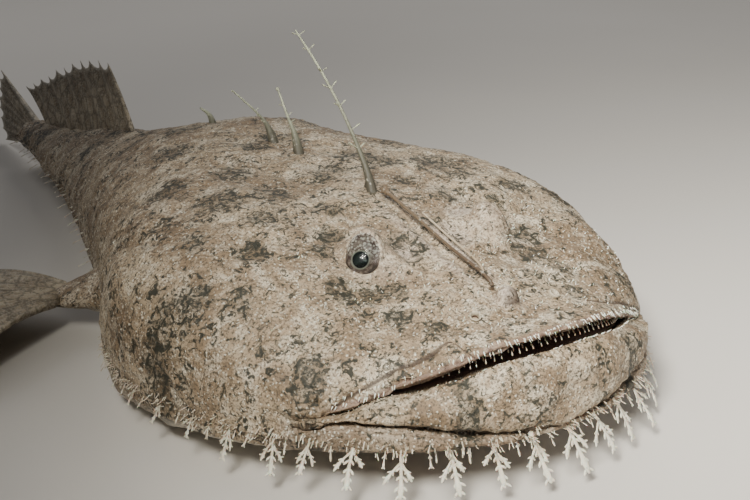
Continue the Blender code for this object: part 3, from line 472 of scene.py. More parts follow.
def all_columns():
    near = np.linspace(HEAD_CENTRE, TAIL_START, NEAR_RINGS + 1)[1:]
    far = np.linspace(TAIL_START, TAIL_BACK, TAIL_RINGS + 1)[1:]
    rings = np.concatenate([near, far])
    columns = [body_column(y, -1) for y in rings[::-1]]
    for angle in np.linspace(-np.pi / 2, np.pi / 2, HEAD_COLUMNS + 1):
        inside = abs(angle) < MOUTH_END - 0.002
        columns.append(mouth_column(angle) if inside else cheek_column(angle))
    columns += [body_column(y, 1) for y in rings]
    return columns, len(rings)


def skin_grid():
    """Points and faces of the skin, with a number for each face: 1 where it lies in the mouth."""
    columns, rings = all_columns()
    rows = UNDER_ROWS + WALL_ROWS + MOUTH_ROWS + OVER_ROWS
    points = []
    index = np.zeros((len(columns), rows), int)
    for c, (under, wall, mouth, over) in enumerate(columns):
        parts = [under[:-1], wall[:-1]] + ([mouth[:-1]] if mouth is not None else []) + [over]
        line = np.vstack(parts)
        numbers = len(points) + np.arange(len(line))
        points.extend(line)
        if mouth is None:
            start = UNDER_ROWS + WALL_ROWS
            numbers = np.concatenate([numbers[:start], np.full(MOUTH_ROWS, numbers[start]), numbers[start:]])
        if c > rings:
            twin = rings if c <= rings + HEAD_COLUMNS else len(columns) - 1 - c
            numbers[[0, -1]] = index[twin, [0, -1]]
        index[c] = numbers
    faces = []
    inside = []
    for c in range(len(columns) - 1):
        for r in range(rows - 1):
            loop = (index[c, r], index[c + 1, r], index[c + 1, r + 1], index[c, r + 1])
            loop = list(dict.fromkeys(int(i) for i in loop))
            if len(loop) > 2:
                faces.append(loop)
                inside.append(UNDER_ROWS + WALL_ROWS + 6 <= r < UNDER_ROWS + WALL_ROWS + MOUTH_ROWS - 3)
    cap = [int(i) for i in index[0]] + [int(i) for i in index[-1][1:-1][::-1]]
    faces.append(list(dict.fromkeys(cap)))
    inside.append(False)
    return np.array(points), faces, inside


def new_piece(name, points, faces):
    """A mesh object in the fish's coordinates, carried by the fish."""
    mesh = bpy.data.meshes.new(name)
    mesh.from_pydata([tuple(map(float, p)) for p in points], [], faces)
    mesh.update()
    piece = add_object(name, mesh)
    piece.parent = fish
    mesh.shade_smooth()
    return piece


grid_points, grid_faces, grid_inside = skin_grid()
skin = new_piece("skin", grid_points, grid_faces)
inside_mark = skin.data.attributes.new("in_mouth", "FLOAT", "FACE")
inside_mark.data.foreach_set("value", np.array(grid_inside, dtype=np.float32))


WELD = 0.000004


def tidy_mesh(piece):
    """Drop points that no face uses, weld doubles and turn all faces outwards."""
    bm = bmesh.new()
    bm.from_mesh(piece.data)
    bmesh.ops.remove_doubles(bm, verts=bm.verts, dist=WELD)
    bmesh.ops.delete(bm, geom=[v for v in bm.verts if not v.link_faces], context="VERTS")
    bmesh.ops.triangulate(bm, faces=bm.faces)
    bmesh.ops.recalc_face_normals(bm, faces=bm.faces)
    open_edges = sum(1 for e in bm.edges if len(e.link_faces) != 2)
    bm.to_mesh(piece.data)
    bm.free()
    return open_edges


print("skin faces", len(grid_faces), "open edges", tidy_mesh(skin))

# %% [markdown]
# ## Arms for the pectoral fins
# A goosefish's pectoral fins sit on short fleshy arms, which it can walk on. The skin runs over them
# without a seam. We make each arm as a closed rod, join it to the bag with a Boolean, and then relax the
# points round the joint, as a sculptor smooths clay with a thumb.

# %% A tapered rod
def smooth_path(points, steps=8):
    """A curve through the points, with steps between each two."""
    p = np.asarray(points, float)
    padded = np.vstack([2 * p[0] - p[1], p, 2 * p[-1] - p[-2]])
    out = []
    for k in range(1, len(padded) - 2):
        a, b, c, d = padded[k - 1:k + 3]
        for t in np.arange(steps) / steps:
            out.append(0.5 * (2 * b + (c - a) * t + (2 * a - 5 * b + 4 * c - d) * t ** 2
                              + (3 * b - a - 3 * c + d) * t ** 3))
    out.append(p[-1])
    return np.array(out)


def rod(path, radii, sides, flatten=1.0, up=(0, 0, 1)):
    """Points and faces of a closed tapered rod; flatten below 1 makes it a strap, thin along up."""
    path = np.asarray(path, float)
    radii = np.interp(np.linspace(0, 1, len(path)), np.linspace(0, 1, len(radii)), radii)
    ahead = np.gradient(path, axis=0)
    ahead /= np.linalg.norm(ahead, axis=1)[:, None]
    across = np.cross(ahead, np.asarray(up, float))
    across /= np.linalg.norm(across, axis=1)[:, None] + 1e-12
    rise = np.cross(across, ahead)
    turn = np.linspace(0, 2 * np.pi, sides, endpoint=False)
    rings = (path[:, None] + across[:, None] * (np.cos(turn)[None, :, None] * radii[:, None, None])
             + rise[:, None] * (np.sin(turn)[None, :, None] * radii[:, None, None] * flatten))
    points = np.vstack([rings.reshape(-1, 3), path[:1] - ahead[:1] * radii[0] * 0.5,
                        path[-1:] + ahead[-1:] * radii[-1] * 0.5])
    faces = []
    last = (len(path) - 1) * sides
    for i in range(sides):
        j = (i + 1) % sides
        for k in range(len(path) - 1):
            faces.append((k * sides + i, k * sides + j, (k + 1) * sides + j, (k + 1) * sides + i))
        faces.append((j, i, last + sides))
        faces.append((last + i, last + j, last + sides + 1))
    return points, faces


print("a rod's faces close its two ends")

# %% Join the arms to the skin
ARM_START = np.array([0.105, 0.370, 0.038]) * FISH_LENGTH
ARM_END = np.array([0.166, 0.408, 0.027]) * FISH_LENGTH
ARM_RADII = np.array([0.036, 0.031, 0.027, 0.023, 0.017]) * FISH_LENGTH
ARM_FLATNESS = 0.55


def join(piece, others):
    """Union of a closed piece with other closed pieces, which are then gone."""
    group = bpy.data.collections.new("arms")
    bpy.context.scene.collection.children.link(group)
    for other in others:
        bpy.context.scene.collection.objects.unlink(other)
        group.objects.link(other)
    union = piece.modifiers.new("union", "BOOLEAN")
    union.operation = "UNION"
    union.solver = "MANIFOLD"
    union.operand_type = "COLLECTION"
    union.collection = group
    bpy.context.view_layer.update()
    result = piece.evaluated_get(bpy.context.evaluated_depsgraph_get())
    mesh = bpy.data.meshes.new_from_object(result)
    piece.modifiers.clear()
    piece.data = mesh
    for other in others:
        bpy.data.objects.remove(other, do_unlink=True)
    bpy.data.collections.remove(group)


def numbers_of(items, name, width, kind=float):
    """A row of numbers for each item of a mesh."""
    values = np.empty(len(items) * width, kind)
    items.foreach_get(name, values)
    return values.reshape(-1, width) if width > 1 else values


def get_points(piece):
    return numbers_of(piece.data.vertices, "co", 3)


def set_points(piece, points):
    piece.data.vertices.foreach_set("co", np.ascontiguousarray(points, dtype=np.float32).ravel())
    piece.data.update()


def get_normals(piece):
    return numbers_of(piece.data.vertex_normals, "vector", 3)


def relax(piece, weight, times):
    """Move each point towards the middle of its neighbours, by its weight, several times."""
    a, b = numbers_of(piece.data.edges, "vertices", 2, int).T
    points = get_points(piece)
    count = np.bincount(a, minlength=len(points)) + np.bincount(b, minlength=len(points))
    for _ in range(times):
        mean = np.stack([np.bincount(a, points[b, k], len(points)) + np.bincount(b, points[a, k], len(points))
                         for k in range(3)], axis=1) / np.maximum(count, 1)[:, None]
        points += weight[:, None] * (mean - points)
    set_points(piece, points)


arms = []
for hand in (-1, 1):
    side = MIRROR[hand]
    line = smooth_path([ARM_START * side * (1 - t) + ARM_END * side * t for t in np.linspace(0, 1, 6)], 6)
    arm_points, arm_faces = rod(line, ARM_RADII, 40, ARM_FLATNESS)
    arms.append(new_piece("arm", arm_points, arm_faces))
    tidy_mesh(arms[-1])
join(skin, arms)
print("skin with arms, open edges", tidy_mesh(skin), "points", len(skin.data.vertices))

# %% [markdown]
# The eyes need a finer mesh than the back, because a lid is only two millimetres thick. So the faces
# near each eye are cut in four before anything is shaped there.

# %% Smooth the shoulders and refine round the eyes
EYE_RADIUS = 0.0125 * FISH_LENGTH
EYE_PLACE = np.array([0.0535, 0.1385, 0.1125]) * FISH_LENGTH
EYE_AXES = {-1: np.array([-0.68, -0.58, 0.44]), 1: np.array([0.88, -0.25, 0.40])}
EYE_STRETCH = 1.62
EYE_BROAD = 0.18


def eye_frame(hand):
    """A turn whose columns are an eye's own axes: across, up and out along its line of sight."""
    return np.array(Vector(EYE_AXES[hand]).to_track_quat("Z", "Y").to_matrix())


def egg_shaped(local, start):
    """Stretch an eyeball's upper half, but not its pupil: the ball is an egg with its blunt end down."""
    local = np.array(local, float)
    reach = ramp((np.hypot(local[:, 0], local[:, 1]) - start) / (0.4 * EYE_RADIUS))
    local[:, 0] *= 1 + EYE_BROAD * reach * np.clip(local[:, 1] / EYE_RADIUS, 0, 1)
    local[:, 1] *= np.where(local[:, 1] > 0, 1 + (EYE_STRETCH - 1) * reach, 1)
    return local


FINE_REACH = 0.026
KNOB_PLACE = np.array([0.0, 0.0585, 0.1048]) * FISH_LENGTH
KNOB_RADIUS = 0.0070 * FISH_LENGTH


def refine_near(piece, places, reach):
    bm = bmesh.new()
    bm.from_mesh(piece.data)
    places = [Vector(p) for p in places]
    near = {v for v in bm.verts if any((v.co - p).length < reach for p in places)}
    edges = [e for e in bm.edges if e.verts[0] in near or e.verts[1] in near]
    bmesh.ops.subdivide_edges(bm, edges=edges, cuts=1, use_grid_fill=True)
    bmesh.ops.triangulate(bm, faces=[f for f in bm.faces if len(f.verts) > 3])
    bm.to_mesh(piece.data)
    bm.free()


shoulder = np.zeros(len(skin.data.vertices))
body_points = get_points(skin)
for hand in (-1, 1):
    root = (ARM_START * 0.62 + ARM_END * 0.38) * MIRROR[hand]
    far = np.linalg.norm((body_points - root) / np.array([1.0, 1.1, 0.9]), axis=1)
    shoulder = np.maximum(shoulder, 0.6 * (1 - ramp((far - 0.022) / 0.020)))
shoulder *= ramp((body_points[:, 2] - 0.001) / 0.006)
relax(skin, shoulder, 40)
refine_near(skin, [EYE_PLACE * MIRROR[hand] for hand in (-1, 1)], FINE_REACH)
refine_near(skin, [KNOB_PLACE], 2 * KNOB_RADIUS)
print("points after refining", len(skin.data.vertices))

# %% [markdown]
# ## Bones and hollows under the skin
# Over each eye the skull makes a low dome, there is a knob on the snout, the lure's stalk lies in a
# groove along the middle, and a shallow hollow lies in front of each eye. Each form is a small height
# function of the place, added where the surface looks up. Working by place, not by point number, lets us
# move or soften one form without touching the others.

# %% Height functions
ORBIT_PLACE = np.array([0.0475, 0.1430, 0.1005]) * FISH_LENGTH
ORBIT_SIZE = np.array([0.0240, 0.0300, 0.0265]) * FISH_LENGTH


def soft_max(a, b, blend):
    """The larger of two heights, rounded where they cross."""
    return (a + b + np.sqrt((a - b) ** 2 + blend ** 2) - 0.5 * blend) / 2


def egg_top(points, place, size):
    """Height of an egg's top over each point, falling away outside it."""
    d = np.hypot((points[:, 0] - place[0]) / size[0], (points[:, 1] - place[1]) / size[1])
    inside = np.sqrt(np.maximum(0.0, 1 - d ** 2))
    return place[2] + size[2] * inside - 1.6 * size[2] * np.maximum(0.0, d - 1)


def mound(points, place, size, height):
    """A smooth mound, or a hollow with a negative height, at a place given in the fish's lengths."""
    x = (points[:, 0] - place[0] * FISH_LENGTH) / (size[0] * FISH_LENGTH)
    y = (points[:, 1] - place[1] * FISH_LENGTH) / (size[1] * FISH_LENGTH)
    return height * np.exp(-(x ** 2 + y ** 2))


def near_path(points, path, width):
    """Which points are near a path, how far from it they lie, and how far along it, from 0 to 1."""
    near = np.all((points > path.min(axis=0) - 3 * width) & (points < path.max(axis=0) + 3 * width), axis=1)
    spots = points[near]
    best = np.full(len(spots), np.inf)
    run = np.zeros(len(spots))
    for k in range(len(path) - 1):
        along = path[k + 1] - path[k]
        t = np.clip(((spots - path[k]) @ along) / (along @ along), 0, 1)
        d = np.linalg.norm(spots - path[k] - t[:, None] * along, axis=1)
        closer = d < best
        best[closer] = d[closer]
        run[closer] = (k + t[closer]) / (len(path) - 1)
    return near, best, run


def ridge(points, path, width, height):
    """A ridge or a furrow along a line of (x, y) places, fading out at its two ends."""
    path = smooth_path([(x * FISH_LENGTH, y * FISH_LENGTH, 0) for x, y in path], 6)[:, :2]
    near, best, run = near_path(points[:, :2], path, width)
    rise = np.zeros(len(points))
    rise[near] = height * np.sin(np.pi * np.clip(run, 0.02, 0.98)) ** 0.5 * np.exp(-(best / width) ** 2)
    return rise


print("skull forms can be raised")


# %% Raise the skull's forms
PAIRED_MOUNDS = [
    ((0.0225, 0.136), (0.009, 0.012), -0.0026), ((0.075, 0.120), (0.014, 0.012), -0.0012),
    ((0.052, 0.085), (0.016, 0.016), 0.0016), ((0.100, 0.105), (0.020, 0.018), 0.0018),
    ((0.128, 0.155), (0.020, 0.030), 0.0022), ((0.095, 0.200), (0.022, 0.022), 0.0016),
]
PAIRED_RIDGES = [
    ([(0.062, 0.157), (0.055, 0.1650), (0.0455, 0.1680), (0.0359, 0.1655), (0.0300, 0.1560), (0.0285, 0.147)],
     0.0019, 0.0016),
    ([(0.0300, 0.1610), (0.0200, 0.1560), (0.0120, 0.1399), (0.0150, 0.1229)], 0.0022, 0.0018),
    ([(0.0480, 0.1170), (0.0400, 0.1165), (0.0250, 0.1175), (0.0180, 0.1220)], 0.0024, 0.0020),
    ([(0.0085, 0.078), (0.0085, 0.130), (0.0095, 0.190)], 0.0036, 0.0010),
    ([(0.020, 0.125), (0.018, 0.108), (0.017, 0.085)], 0.0040, 0.0014),
    ([(0.150, 0.238), (0.154, 0.275), (0.156, 0.320), (0.150, 0.345)], 0.0042, -0.0045),
]
ORBIT_BLEND = 0.0045


def head_forms(points):
    """The change of height over the head, for points that look up."""
    z = points[:, 2].copy()
    for hand in (-1, 1):
        z = soft_max(z, egg_top(points, ORBIT_PLACE * MIRROR[hand], ORBIT_SIZE), ORBIT_BLEND)
    rise = z - points[:, 2]
    for hand in (-1, 1):
        for (x, y), size, height in PAIRED_MOUNDS:
            rise += mound(points, (hand * x, y), size, height)
        for path, width, height in PAIRED_RIDGES:
            rise += ridge(points, [(hand * x, y) for x, y in path], width, height)
    rise += ridge(points, [(0, 0.074), (0, 0.100), (0, 0.150), (0, 0.200)], 0.0026, -0.0010)
    rise += mound(points, (0, 0.150), (0.016, 0.050), -0.0012)
    return rise


def in_mouth_points(piece):
    """1 at the points of the mouth's inside, from the mark on its faces."""
    mark = numbers_of(piece.data.attributes["in_mouth"].data, "value", 1)
    size = numbers_of(piece.data.polygons, "loop_total", 1, int)
    inside = np.zeros(len(piece.data.vertices))
    np.maximum.at(inside, numbers_of(piece.data.loops, "vertex_index", 1, int), np.repeat(mark, size))
    return inside


head_points = get_points(skin)
looks_up = ramp((get_normals(skin)[:, 2] - 0.02) / 0.25) * (1 - in_mouth_points(skin))
head_points[:, 2] += looks_up * head_forms(head_points)
at_knob = np.argmin(np.linalg.norm(head_points[:, :2] - KNOB_PLACE[:2], axis=1) - head_points[:, 2])
knob_centre = np.array([KNOB_PLACE[0], KNOB_PLACE[1], head_points[at_knob, 2] + 0.30 * KNOB_RADIUS])
knob_top = egg_top(head_points, knob_centre, np.array([KNOB_RADIUS] * 3))
head_points[:, 2] += looks_up * (soft_max(head_points[:, 2], knob_top, 0.0009) - head_points[:, 2])
set_points(skin, head_points)
print("highest point of the skin", round(head_points[:, 2].max(), 4))

# %% [markdown]
# ## Creases of the lips and the corner of the mouth
# A thin crease runs above the upper lip and meets the lip line near the corner. There the two jaws end
# in one rounded lobe with a dimple in it, and the deep fold under the jaw curls up round the lobe. These
# lines are drawn as paths on the skin, and the skin is pressed in along them.

# %% Press creases and dimples
def head_angle(points):
    """Angle round the head's oval and radius in it, for an array of points."""
    across = points[:, 0] / HEAD_HALF_WIDTH
    ahead = (HEAD_CENTRE - points[:, 1]) / FRONT_REACH
    return np.arctan2(across, ahead), np.hypot(across, ahead)


def press(points, normals, path, width, depth):
    """Push points in along their normals by the depth, less the further they lie from a path."""
    near, best, run = near_path(points, path, width)
    fade = ramp(np.minimum(run, 1 - run) / 0.12)
    points[near] -= normals[near] * (depth * fade * np.exp(-(best / width) ** 2))[:, None]


def dent(points, normals, place, width, depth):
    far = np.linalg.norm(points - place, axis=1)
    points -= normals * (depth * np.exp(-(far / width) ** 2))[:, None]


LOBE_PATH = [(-44.0, 1.0, 0.0499), (-46.0, 1.0, 0.0480), (-48.0, 0.999, 0.0464), (-50.0, 0.996, 0.0458),
             (-51.8, 0.992, 0.0465), (-53.0, 0.987, 0.0490), (-54.0, 0.983, 0.0535)]
LOBE_DENTS = [(-48.6, 0.985, 0.0525, 0.0085, -0.0018), (-46.3, 0.975, 0.0588, 0.0024, 0.0026),
              (-48.4, 0.974, 0.0625, 0.0026, 0.0016)]
CREASE_RISE = [(0, 0.0240), (17, 0.0240), (22, 0.0185), (27, 0.0128), (33, 0.0113), (38, 0.0078),
               (42, 0.0038), (45.5, 0.0)]
CREASE_DEPTH = 0.0014
CREASE_WIDTH = 0.0018
LOBE_WIDTH = 0.0018
LOBE_DEPTH = 0.0026


def above_lip(points):
    """How far each point lies above the upper lip's edge, and above the crease, as a straight line."""
    angle, radius = head_angle(points)
    angle = np.abs(angle)
    turns = np.linspace(0, MOUTH_ANGLE, 80)
    rise = points[:, 2] - np.interp(angle, turns, [upper_lip_height(a) for a in turns])
    reach = np.hypot(HEAD_HALF_WIDTH * np.sin(angle), FRONT_REACH * np.cos(angle))
    inward = (np.interp(angle, turns, [lip_radius(a) for a in turns]) - radius) * reach
    lip = np.sign(rise) * np.hypot(rise, np.maximum(inward, 0))
    degrees, heights = np.array(CREASE_RISE).T
    past_end = 0.02 * ramp((radians(21) - angle) / 0.07)
    return lip, lip - np.interp(angle, np.radians(degrees), heights * FISH_LENGTH) + past_end


def near_lip(points):
    """1 on the snout and lip in front of the mouth's corners, outside the mouth."""
    angle, radius = head_angle(points)
    in_front = ramp((radians(46) - np.abs(angle)) / 0.07) * ramp((radius - 0.72) / 0.06)
    return in_front * (1 - in_mouth_points(skin))


def lip_creases(points, normals):
    crease = CREASE_DEPTH * snout * np.exp(-(crease_gap / CREASE_WIDTH) ** 2)
    points -= normals * crease[:, None]
    for hand in (-1, 1):
        side = MIRROR[-hand]
        lobe = [plan_points(radians(a), [r], z * FISH_LENGTH)[0] * side for a, r, z in LOBE_PATH]
        press(points, normals, smooth_path(lobe, 5), LOBE_WIDTH, LOBE_DEPTH)
        for degrees, radius, height, width, depth in LOBE_DENTS:
            place = plan_points(radians(degrees), [radius], height * FISH_LENGTH)[0] * side
            dent(points, normals, place, width, depth)


creased = get_points(skin)
snout = near_lip(creased)
lip_gap, crease_gap = above_lip(creased)
lip_creases(creased, get_normals(skin))
set_points(skin, creased)
print("lips creased")

# %% [markdown]
# ## Lids
# The eye turns in a round socket with a raised rim, thickest above. Seen from the middle of the eyeball,
# the rim is a matter of distance and angle only: inside the opening the skin sinks behind the ball, at
# the rim it stands off the ball, and further out it keeps its place.

# %% Open the sockets
OPENINGS = {-1: radians(56), 1: radians(38)}
RIM_WIDTH = radians(12)
RIM_STAND = 1.06
HOOD_STAND = 1.08
SUNK_SHARE = 0.80
RIM_END = radians(100)
RIM_GROWTH = 0.05
SOCKET_REACH = 2.3


def open_socket(points, hand):
    centre = EYE_PLACE * MIRROR[hand]
    turn = eye_frame(hand)
    away = (points - centre) @ turn
    stretched = np.where(away[:, 1] > 0, EYE_STRETCH, 1.0)
    away[:, 1] /= stretched
    broad = 1 + EYE_BROAD * np.clip(away[:, 1] / EYE_RADIUS, 0, 1)
    away[:, 0] /= broad
    distance = np.linalg.norm(away, axis=1)
    angle = np.arccos(np.clip(away[:, 2] / np.maximum(distance, 1e-9), -1, 1))
    above = np.clip(away[:, 1] / np.maximum(distance, 1e-9), 0, 1)
    rim = OPENINGS[hand] + RIM_WIDTH
    stand = EYE_RADIUS * (RIM_STAND + RIM_GROWTH * above)
    sunk = EYE_RADIUS * SUNK_SHARE
    target = sunk + (stand - sunk) * ramp((angle - OPENINGS[hand]) / RIM_WIDTH)
    share = (1 - ramp((angle - rim) / (RIM_END - rim))) * ramp((SOCKET_REACH * EYE_RADIUS - distance) / 0.006)
    new = distance + (target - distance) * share
    hooded = np.where(angle > rim, np.maximum(new, HOOD_STAND * EYE_RADIUS), new)
    new = np.where(points[:, 2] > 0.75 * centre[2], hooded, new)
    away *= (new / np.maximum(distance, 1e-9))[:, None]
    away *= np.stack([broad, stretched, np.ones(len(away))], axis=1)
    return centre + away @ turn.T


for hand in (-1, 1):
    side_points = get_points(skin)
    mine = side_points[:, 0] * hand > 0
    side_points[mine] = open_socket(side_points[mine], hand)
    set_points(skin, side_points)
print("sockets opened")

# %% [markdown]
# ## Folds, lumps and warts
# The skin is slack and lumpy. We push it in and out along its own normal with noise at several sizes:
# broad lumps, small folds and round warts. The noise is worked out from the place in space, so it runs
# on without a break wherever the grid's columns are close together or far apart.

# %% Noise made of blended random numbers
def lattice(cell, seed):
    """A repeatable random number from 0 to 1 for each whole-numbered cell."""
    n = (cell[:, 0] * 73856093) ^ (cell[:, 1] * 19349663) ^ (cell[:, 2] * 83492791) ^ (seed * 2654435)
    n = n & 0x7FFFFFFF
    n = (n * (n & 0xFFFF) + 1376312589) & 0x7FFFFFFF
    n = (n ^ (n >> 13)) * 60493 & 0x7FFFFFFF
    return (n ^ (n >> 9)) % 100003 / 100003.0


def lumps(points, size, seed):
    """Smooth noise from -1 to 1 with lumps about the size given in metres."""
    p = points / size + 1000.0
    cell = np.floor(p).astype(np.int64)
    f = p - cell
    f = f * f * f * (f * (f * 6 - 15) + 10)
    total = np.zeros(len(points))
    for corner in np.ndindex(2, 2, 2):
        corner = np.array(corner)
        weight = np.prod(np.where(corner, f, 1 - f), axis=1)
        total += weight * lattice(cell + corner, seed)
    return total * 2 - 1


def warts(points, size, seed, keep):
    """Round warts on a share of the cells: 1 at a wart's top and 0 beside it."""
    p = points / size + 1000.0
    cell = np.floor(p).astype(np.int64)
    best = np.zeros(len(points))
    for corner in np.ndindex(3, 3, 3):
        near = cell + np.array(corner) - 1
        jitter = np.stack([lattice(near, seed + k) for k in range(3)], axis=1)
        d = np.linalg.norm(p - near - jitter, axis=1)
        radius = 0.25 + 0.25 * lattice(near, seed + 7)
        here = ramp(1 - d / radius) * (lattice(near, seed + 9) < keep)
        best = np.maximum(best, here)
    return best


print("noise of one point", round(float(lumps(np.zeros((1, 3)), 0.01, 1)[0]), 3))

# %% Push the skin in and out
LUMPS = [(0.0018, 0.034, 1), (0.0010, 0.016, 2), (0.0007, 0.0080, 3), (0.00045, 0.0036, 4)]
WARTS = [(0.0008, 0.0075, 20, 0.35), (0.0005, 0.0040, 40, 0.4)]


def skin_relief(points):
    """How far the skin stands out, from lists of heights, sizes and seeds."""
    lumpy = sum(height * lumps(points, size, seed) for height, size, seed in LUMPS)
    return lumpy + sum(height * warts(points, size, seed, keep) for height, size, seed, keep in WARTS)


skin_points = get_points(skin)
eye_room = np.ones(len(skin_points))
for hand in (-1, 1):
    far = np.linalg.norm(skin_points - EYE_PLACE * MIRROR[hand], axis=1)
    eye_room = np.minimum(eye_room, 0.15 + 0.85 * ramp((far - 0.013) / 0.010))
calm = eye_room * ramp((skin_points[:, 2] - 0.0010) / 0.012)
calm *= 1 - 0.95 * in_mouth_points(skin)
skin_points += get_normals(skin) * (calm * skin_relief(skin_points))[:, None]
skin_points[:, 2] = np.maximum(skin_points[:, 2], 0.0)
set_points(skin, skin_points)
print("relief from", round(skin_relief(skin_points).min(), 4), "to", round(skin_relief(skin_points).max(), 4))

# %% [markdown]
# ## A kit for paints
# Every finish here is worked out by nodes from the place on the fish, with no picture. A few short words
# for the nodes that we use again and again keep each paint readable: grain, cells, limits, mixes, bumps.

# %% Words for the nodes
class Paint:
    """A material under construction."""

    def __init__(self, name, roughness, slot_colour=(0.5, 0.45, 0.36)):
        self.material = bpy.data.materials.new(name)
        self.material.use_nodes = True
        self.tree = self.material.node_tree
        self.shader = self.tree.nodes["Principled BSDF"]
        self.shader.inputs["Roughness"].default_value = roughness
        self.place = self.node("ShaderNodeTexCoord").outputs["Object"]
        self.material.diffuse_color = (*slot_colour, 1)

    def node(self, kind, **numbers):
        made = self.tree.nodes.new(kind)
        for name, number in numbers.items():
            made.inputs[name.replace("_", " ")].default_value = number
        return made

    def feed(self, socket, value):
        """Link an output to a socket, or set the socket to a plain number or colour."""
        if isinstance(value, bpy.types.NodeSocket):
            self.tree.links.new(value, socket)
        elif isinstance(value, tuple):
            socket.default_value = (*value, 1.0)[:len(socket.default_value)]
        else:
            socket.default_value = value

    def grain(self, size, detail=3.0, roughness=0.55, warp=0.0):
        """Noise from 0 to 1 with lumps about the size given in metres."""
        noise = self.node("ShaderNodeTexNoise", Scale=1 / size, Detail=detail, Roughness=roughness,
                          Distortion=warp)
        self.feed(noise.inputs["Vector"], self.place)
        return noise.outputs["Fac"]

    def cells(self, size, feature="F1", place=None):
        """Distance from the middles, or from the edges, of cells about the size given in metres."""
        cell = self.node("ShaderNodeTexVoronoi", Scale=1 / size)
        cell.feature = feature
        self.feed(cell.inputs["Vector"], place or self.place)
        return cell.outputs["Distance"]

    def limit(self, value, low, high, start=0.0, end=1.0):
        """Stretch the part of a value between low and high to start and end, with soft ends."""
        stretch = self.node("ShaderNodeMapRange", From_Min=low, From_Max=high, To_Min=start, To_Max=end)
        stretch.interpolation_type = "SMOOTHSTEP"
        self.feed(stretch.inputs["Value"], value)
        return stretch.outputs["Result"]

    def mix(self, share, a, b):
        mixer = self.node("ShaderNodeMix")
        mixer.data_type = "RGBA"
        self.feed(mixer.inputs["Factor"], share)
        self.feed(mixer.inputs[6], a)
        self.feed(mixer.inputs[7], b)
        return mixer.outputs[2]

    def sum(self, way, a, b):
        maths = self.node("ShaderNodeMath")
        maths.operation = way
        self.feed(maths.inputs[0], a)
        self.feed(maths.inputs[1], b)
        return maths.outputs[0]

    def times(self, a, b):
        return self.sum("MULTIPLY", a, b)

    def larger(self, a, b):
        return self.sum("MAXIMUM", a, b)

    def mark(self, name):
        """A number that the mesh carries at each point."""
        attribute = self.node("ShaderNodeAttribute")
        attribute.attribute_name = name
        return attribute.outputs["Fac"]

    def warped(self, size, amount):
        """The place, shifted about by noise, so that patterns made from it look grown."""
        noise = self.node("ShaderNodeTexNoise", Scale=1 / size, Detail=2)
        self.feed(noise.inputs["Vector"], self.place)
        shift = self.node("ShaderNodeVectorMath")
        shift.operation = "MULTIPLY_ADD"
        self.feed(shift.inputs[0], noise.outputs["Color"])
        shift.inputs[1].default_value = (amount, amount, amount)
        self.feed(shift.inputs[2], self.place)
        return shift.outputs["Vector"]

    def bump(self, height, distance, strength=1.0, under=None):
        bumper = self.node("ShaderNodeBump", Strength=strength, Distance=distance)
        self.feed(bumper.inputs["Height"], height)
        if under is not None:
            self.feed(bumper.inputs["Normal"], under)
        return bumper.outputs["Normal"]

    def finish(self, colour, roughness=None, normal=None, **numbers):
        self.feed(self.shader.inputs["Base Color"], colour)
        if roughness is not None:
            self.feed(self.shader.inputs["Roughness"], roughness)
        if normal is not None:
            self.feed(self.shader.inputs["Normal"], normal)
        for name, number in numbers.items():
            self.shader.inputs[name.replace("_", " ")].default_value = number
        return self.material


print("paint kit ready")

# %% [markdown]
# ## Where the dark marks gather
# The pale, sandy skin carries broken dark olive marks, in clusters: under and behind the eyes, over the
# cheeks and along the back. The mesh carries a number for how thickly they gather at each point, and the
# paint breaks the clusters up into small branching marks. On the far side they sit a little differently,
# as on a real fish, and the more so the further back they are.

# %% Clusters of dark marks
CLUSTERS = [
    (0.083, 0.1215, 0.012, 1.0), (0.068, 0.108, 0.012, 1.0), (0.054, 0.101, 0.010, 0.9),
    (0.130, 0.083, 0.012, 1.0), (0.112, 0.092, 0.009, 0.5), (0.058, 0.1715, 0.010, 1.0),
    (0.072, 0.160, 0.010, 0.9), (0.021, 0.146, 0.010, 0.9), (0.097, 0.250, 0.022, 0.9),
    (0.060, 0.243, 0.018, 0.9), (0.162, 0.173, 0.016, 0.9), (0.140, 0.148, 0.014, 0.7),
    (0.010, 0.255, 0.016, 0.8), (0.115, 0.178, 0.014, 0.9), (0.178, 0.185, 0.016, 0.9),
    (0.067, 0.083, 0.011, 0.9), (0.064, 0.106, 0.012, 0.8), (0.056, 0.060, 0.010, 0.8),
    (0.043, 0.081, 0.009, 0.7), (0.050, 0.049, 0.007, 0.6), (0.090, 0.205, 0.014, 0.8),
    (0.040, 0.200, 0.012, 0.7), (0.138, 0.215, 0.014, 0.7), (0.060, 0.300, 0.020, 0.8),
    (0.110, 0.310, 0.020, 0.8), (0.020, 0.340, 0.018, 0.8), (0.070, 0.380, 0.022, 0.8),
    (0.030, 0.440, 0.022, 0.8), (0.060, 0.490, 0.020, 0.8), (0.020, 0.540, 0.020, 0.8),
    (0.040, 0.620, 0.020, 0.8), (0.010, 0.700, 0.020, 0.8), (0.020, 0.790, 0.018, 0.8),
    (0.066, 0.014, 0.010, 0.9), (0.100, 0.045, 0.010, 0.5), (0.030, 0.004, 0.009, 0.5),
]


FAR_SIDE_SHIFT = 0.08


def cluster_mark(points):
    """How thickly the marks gather at each point, from 0 to 1."""
    draw = random.Random(41)
    gathered = np.zeros(len(points))
    for x, y, reach, strength in CLUSTERS:
        for hand in (-1, 1):
            shift = FAR_SIDE_SHIFT * y * (hand + 1) / 2
            across = hand * x + draw.uniform(-shift, shift)
            back = y + draw.uniform(-shift, shift)
            d = np.hypot(points[:, 0] / FISH_LENGTH - across, points[:, 1] / FISH_LENGTH - back)
            gathered = np.maximum(gathered, strength * np.exp(-(d / reach) ** 2))
    return gathered


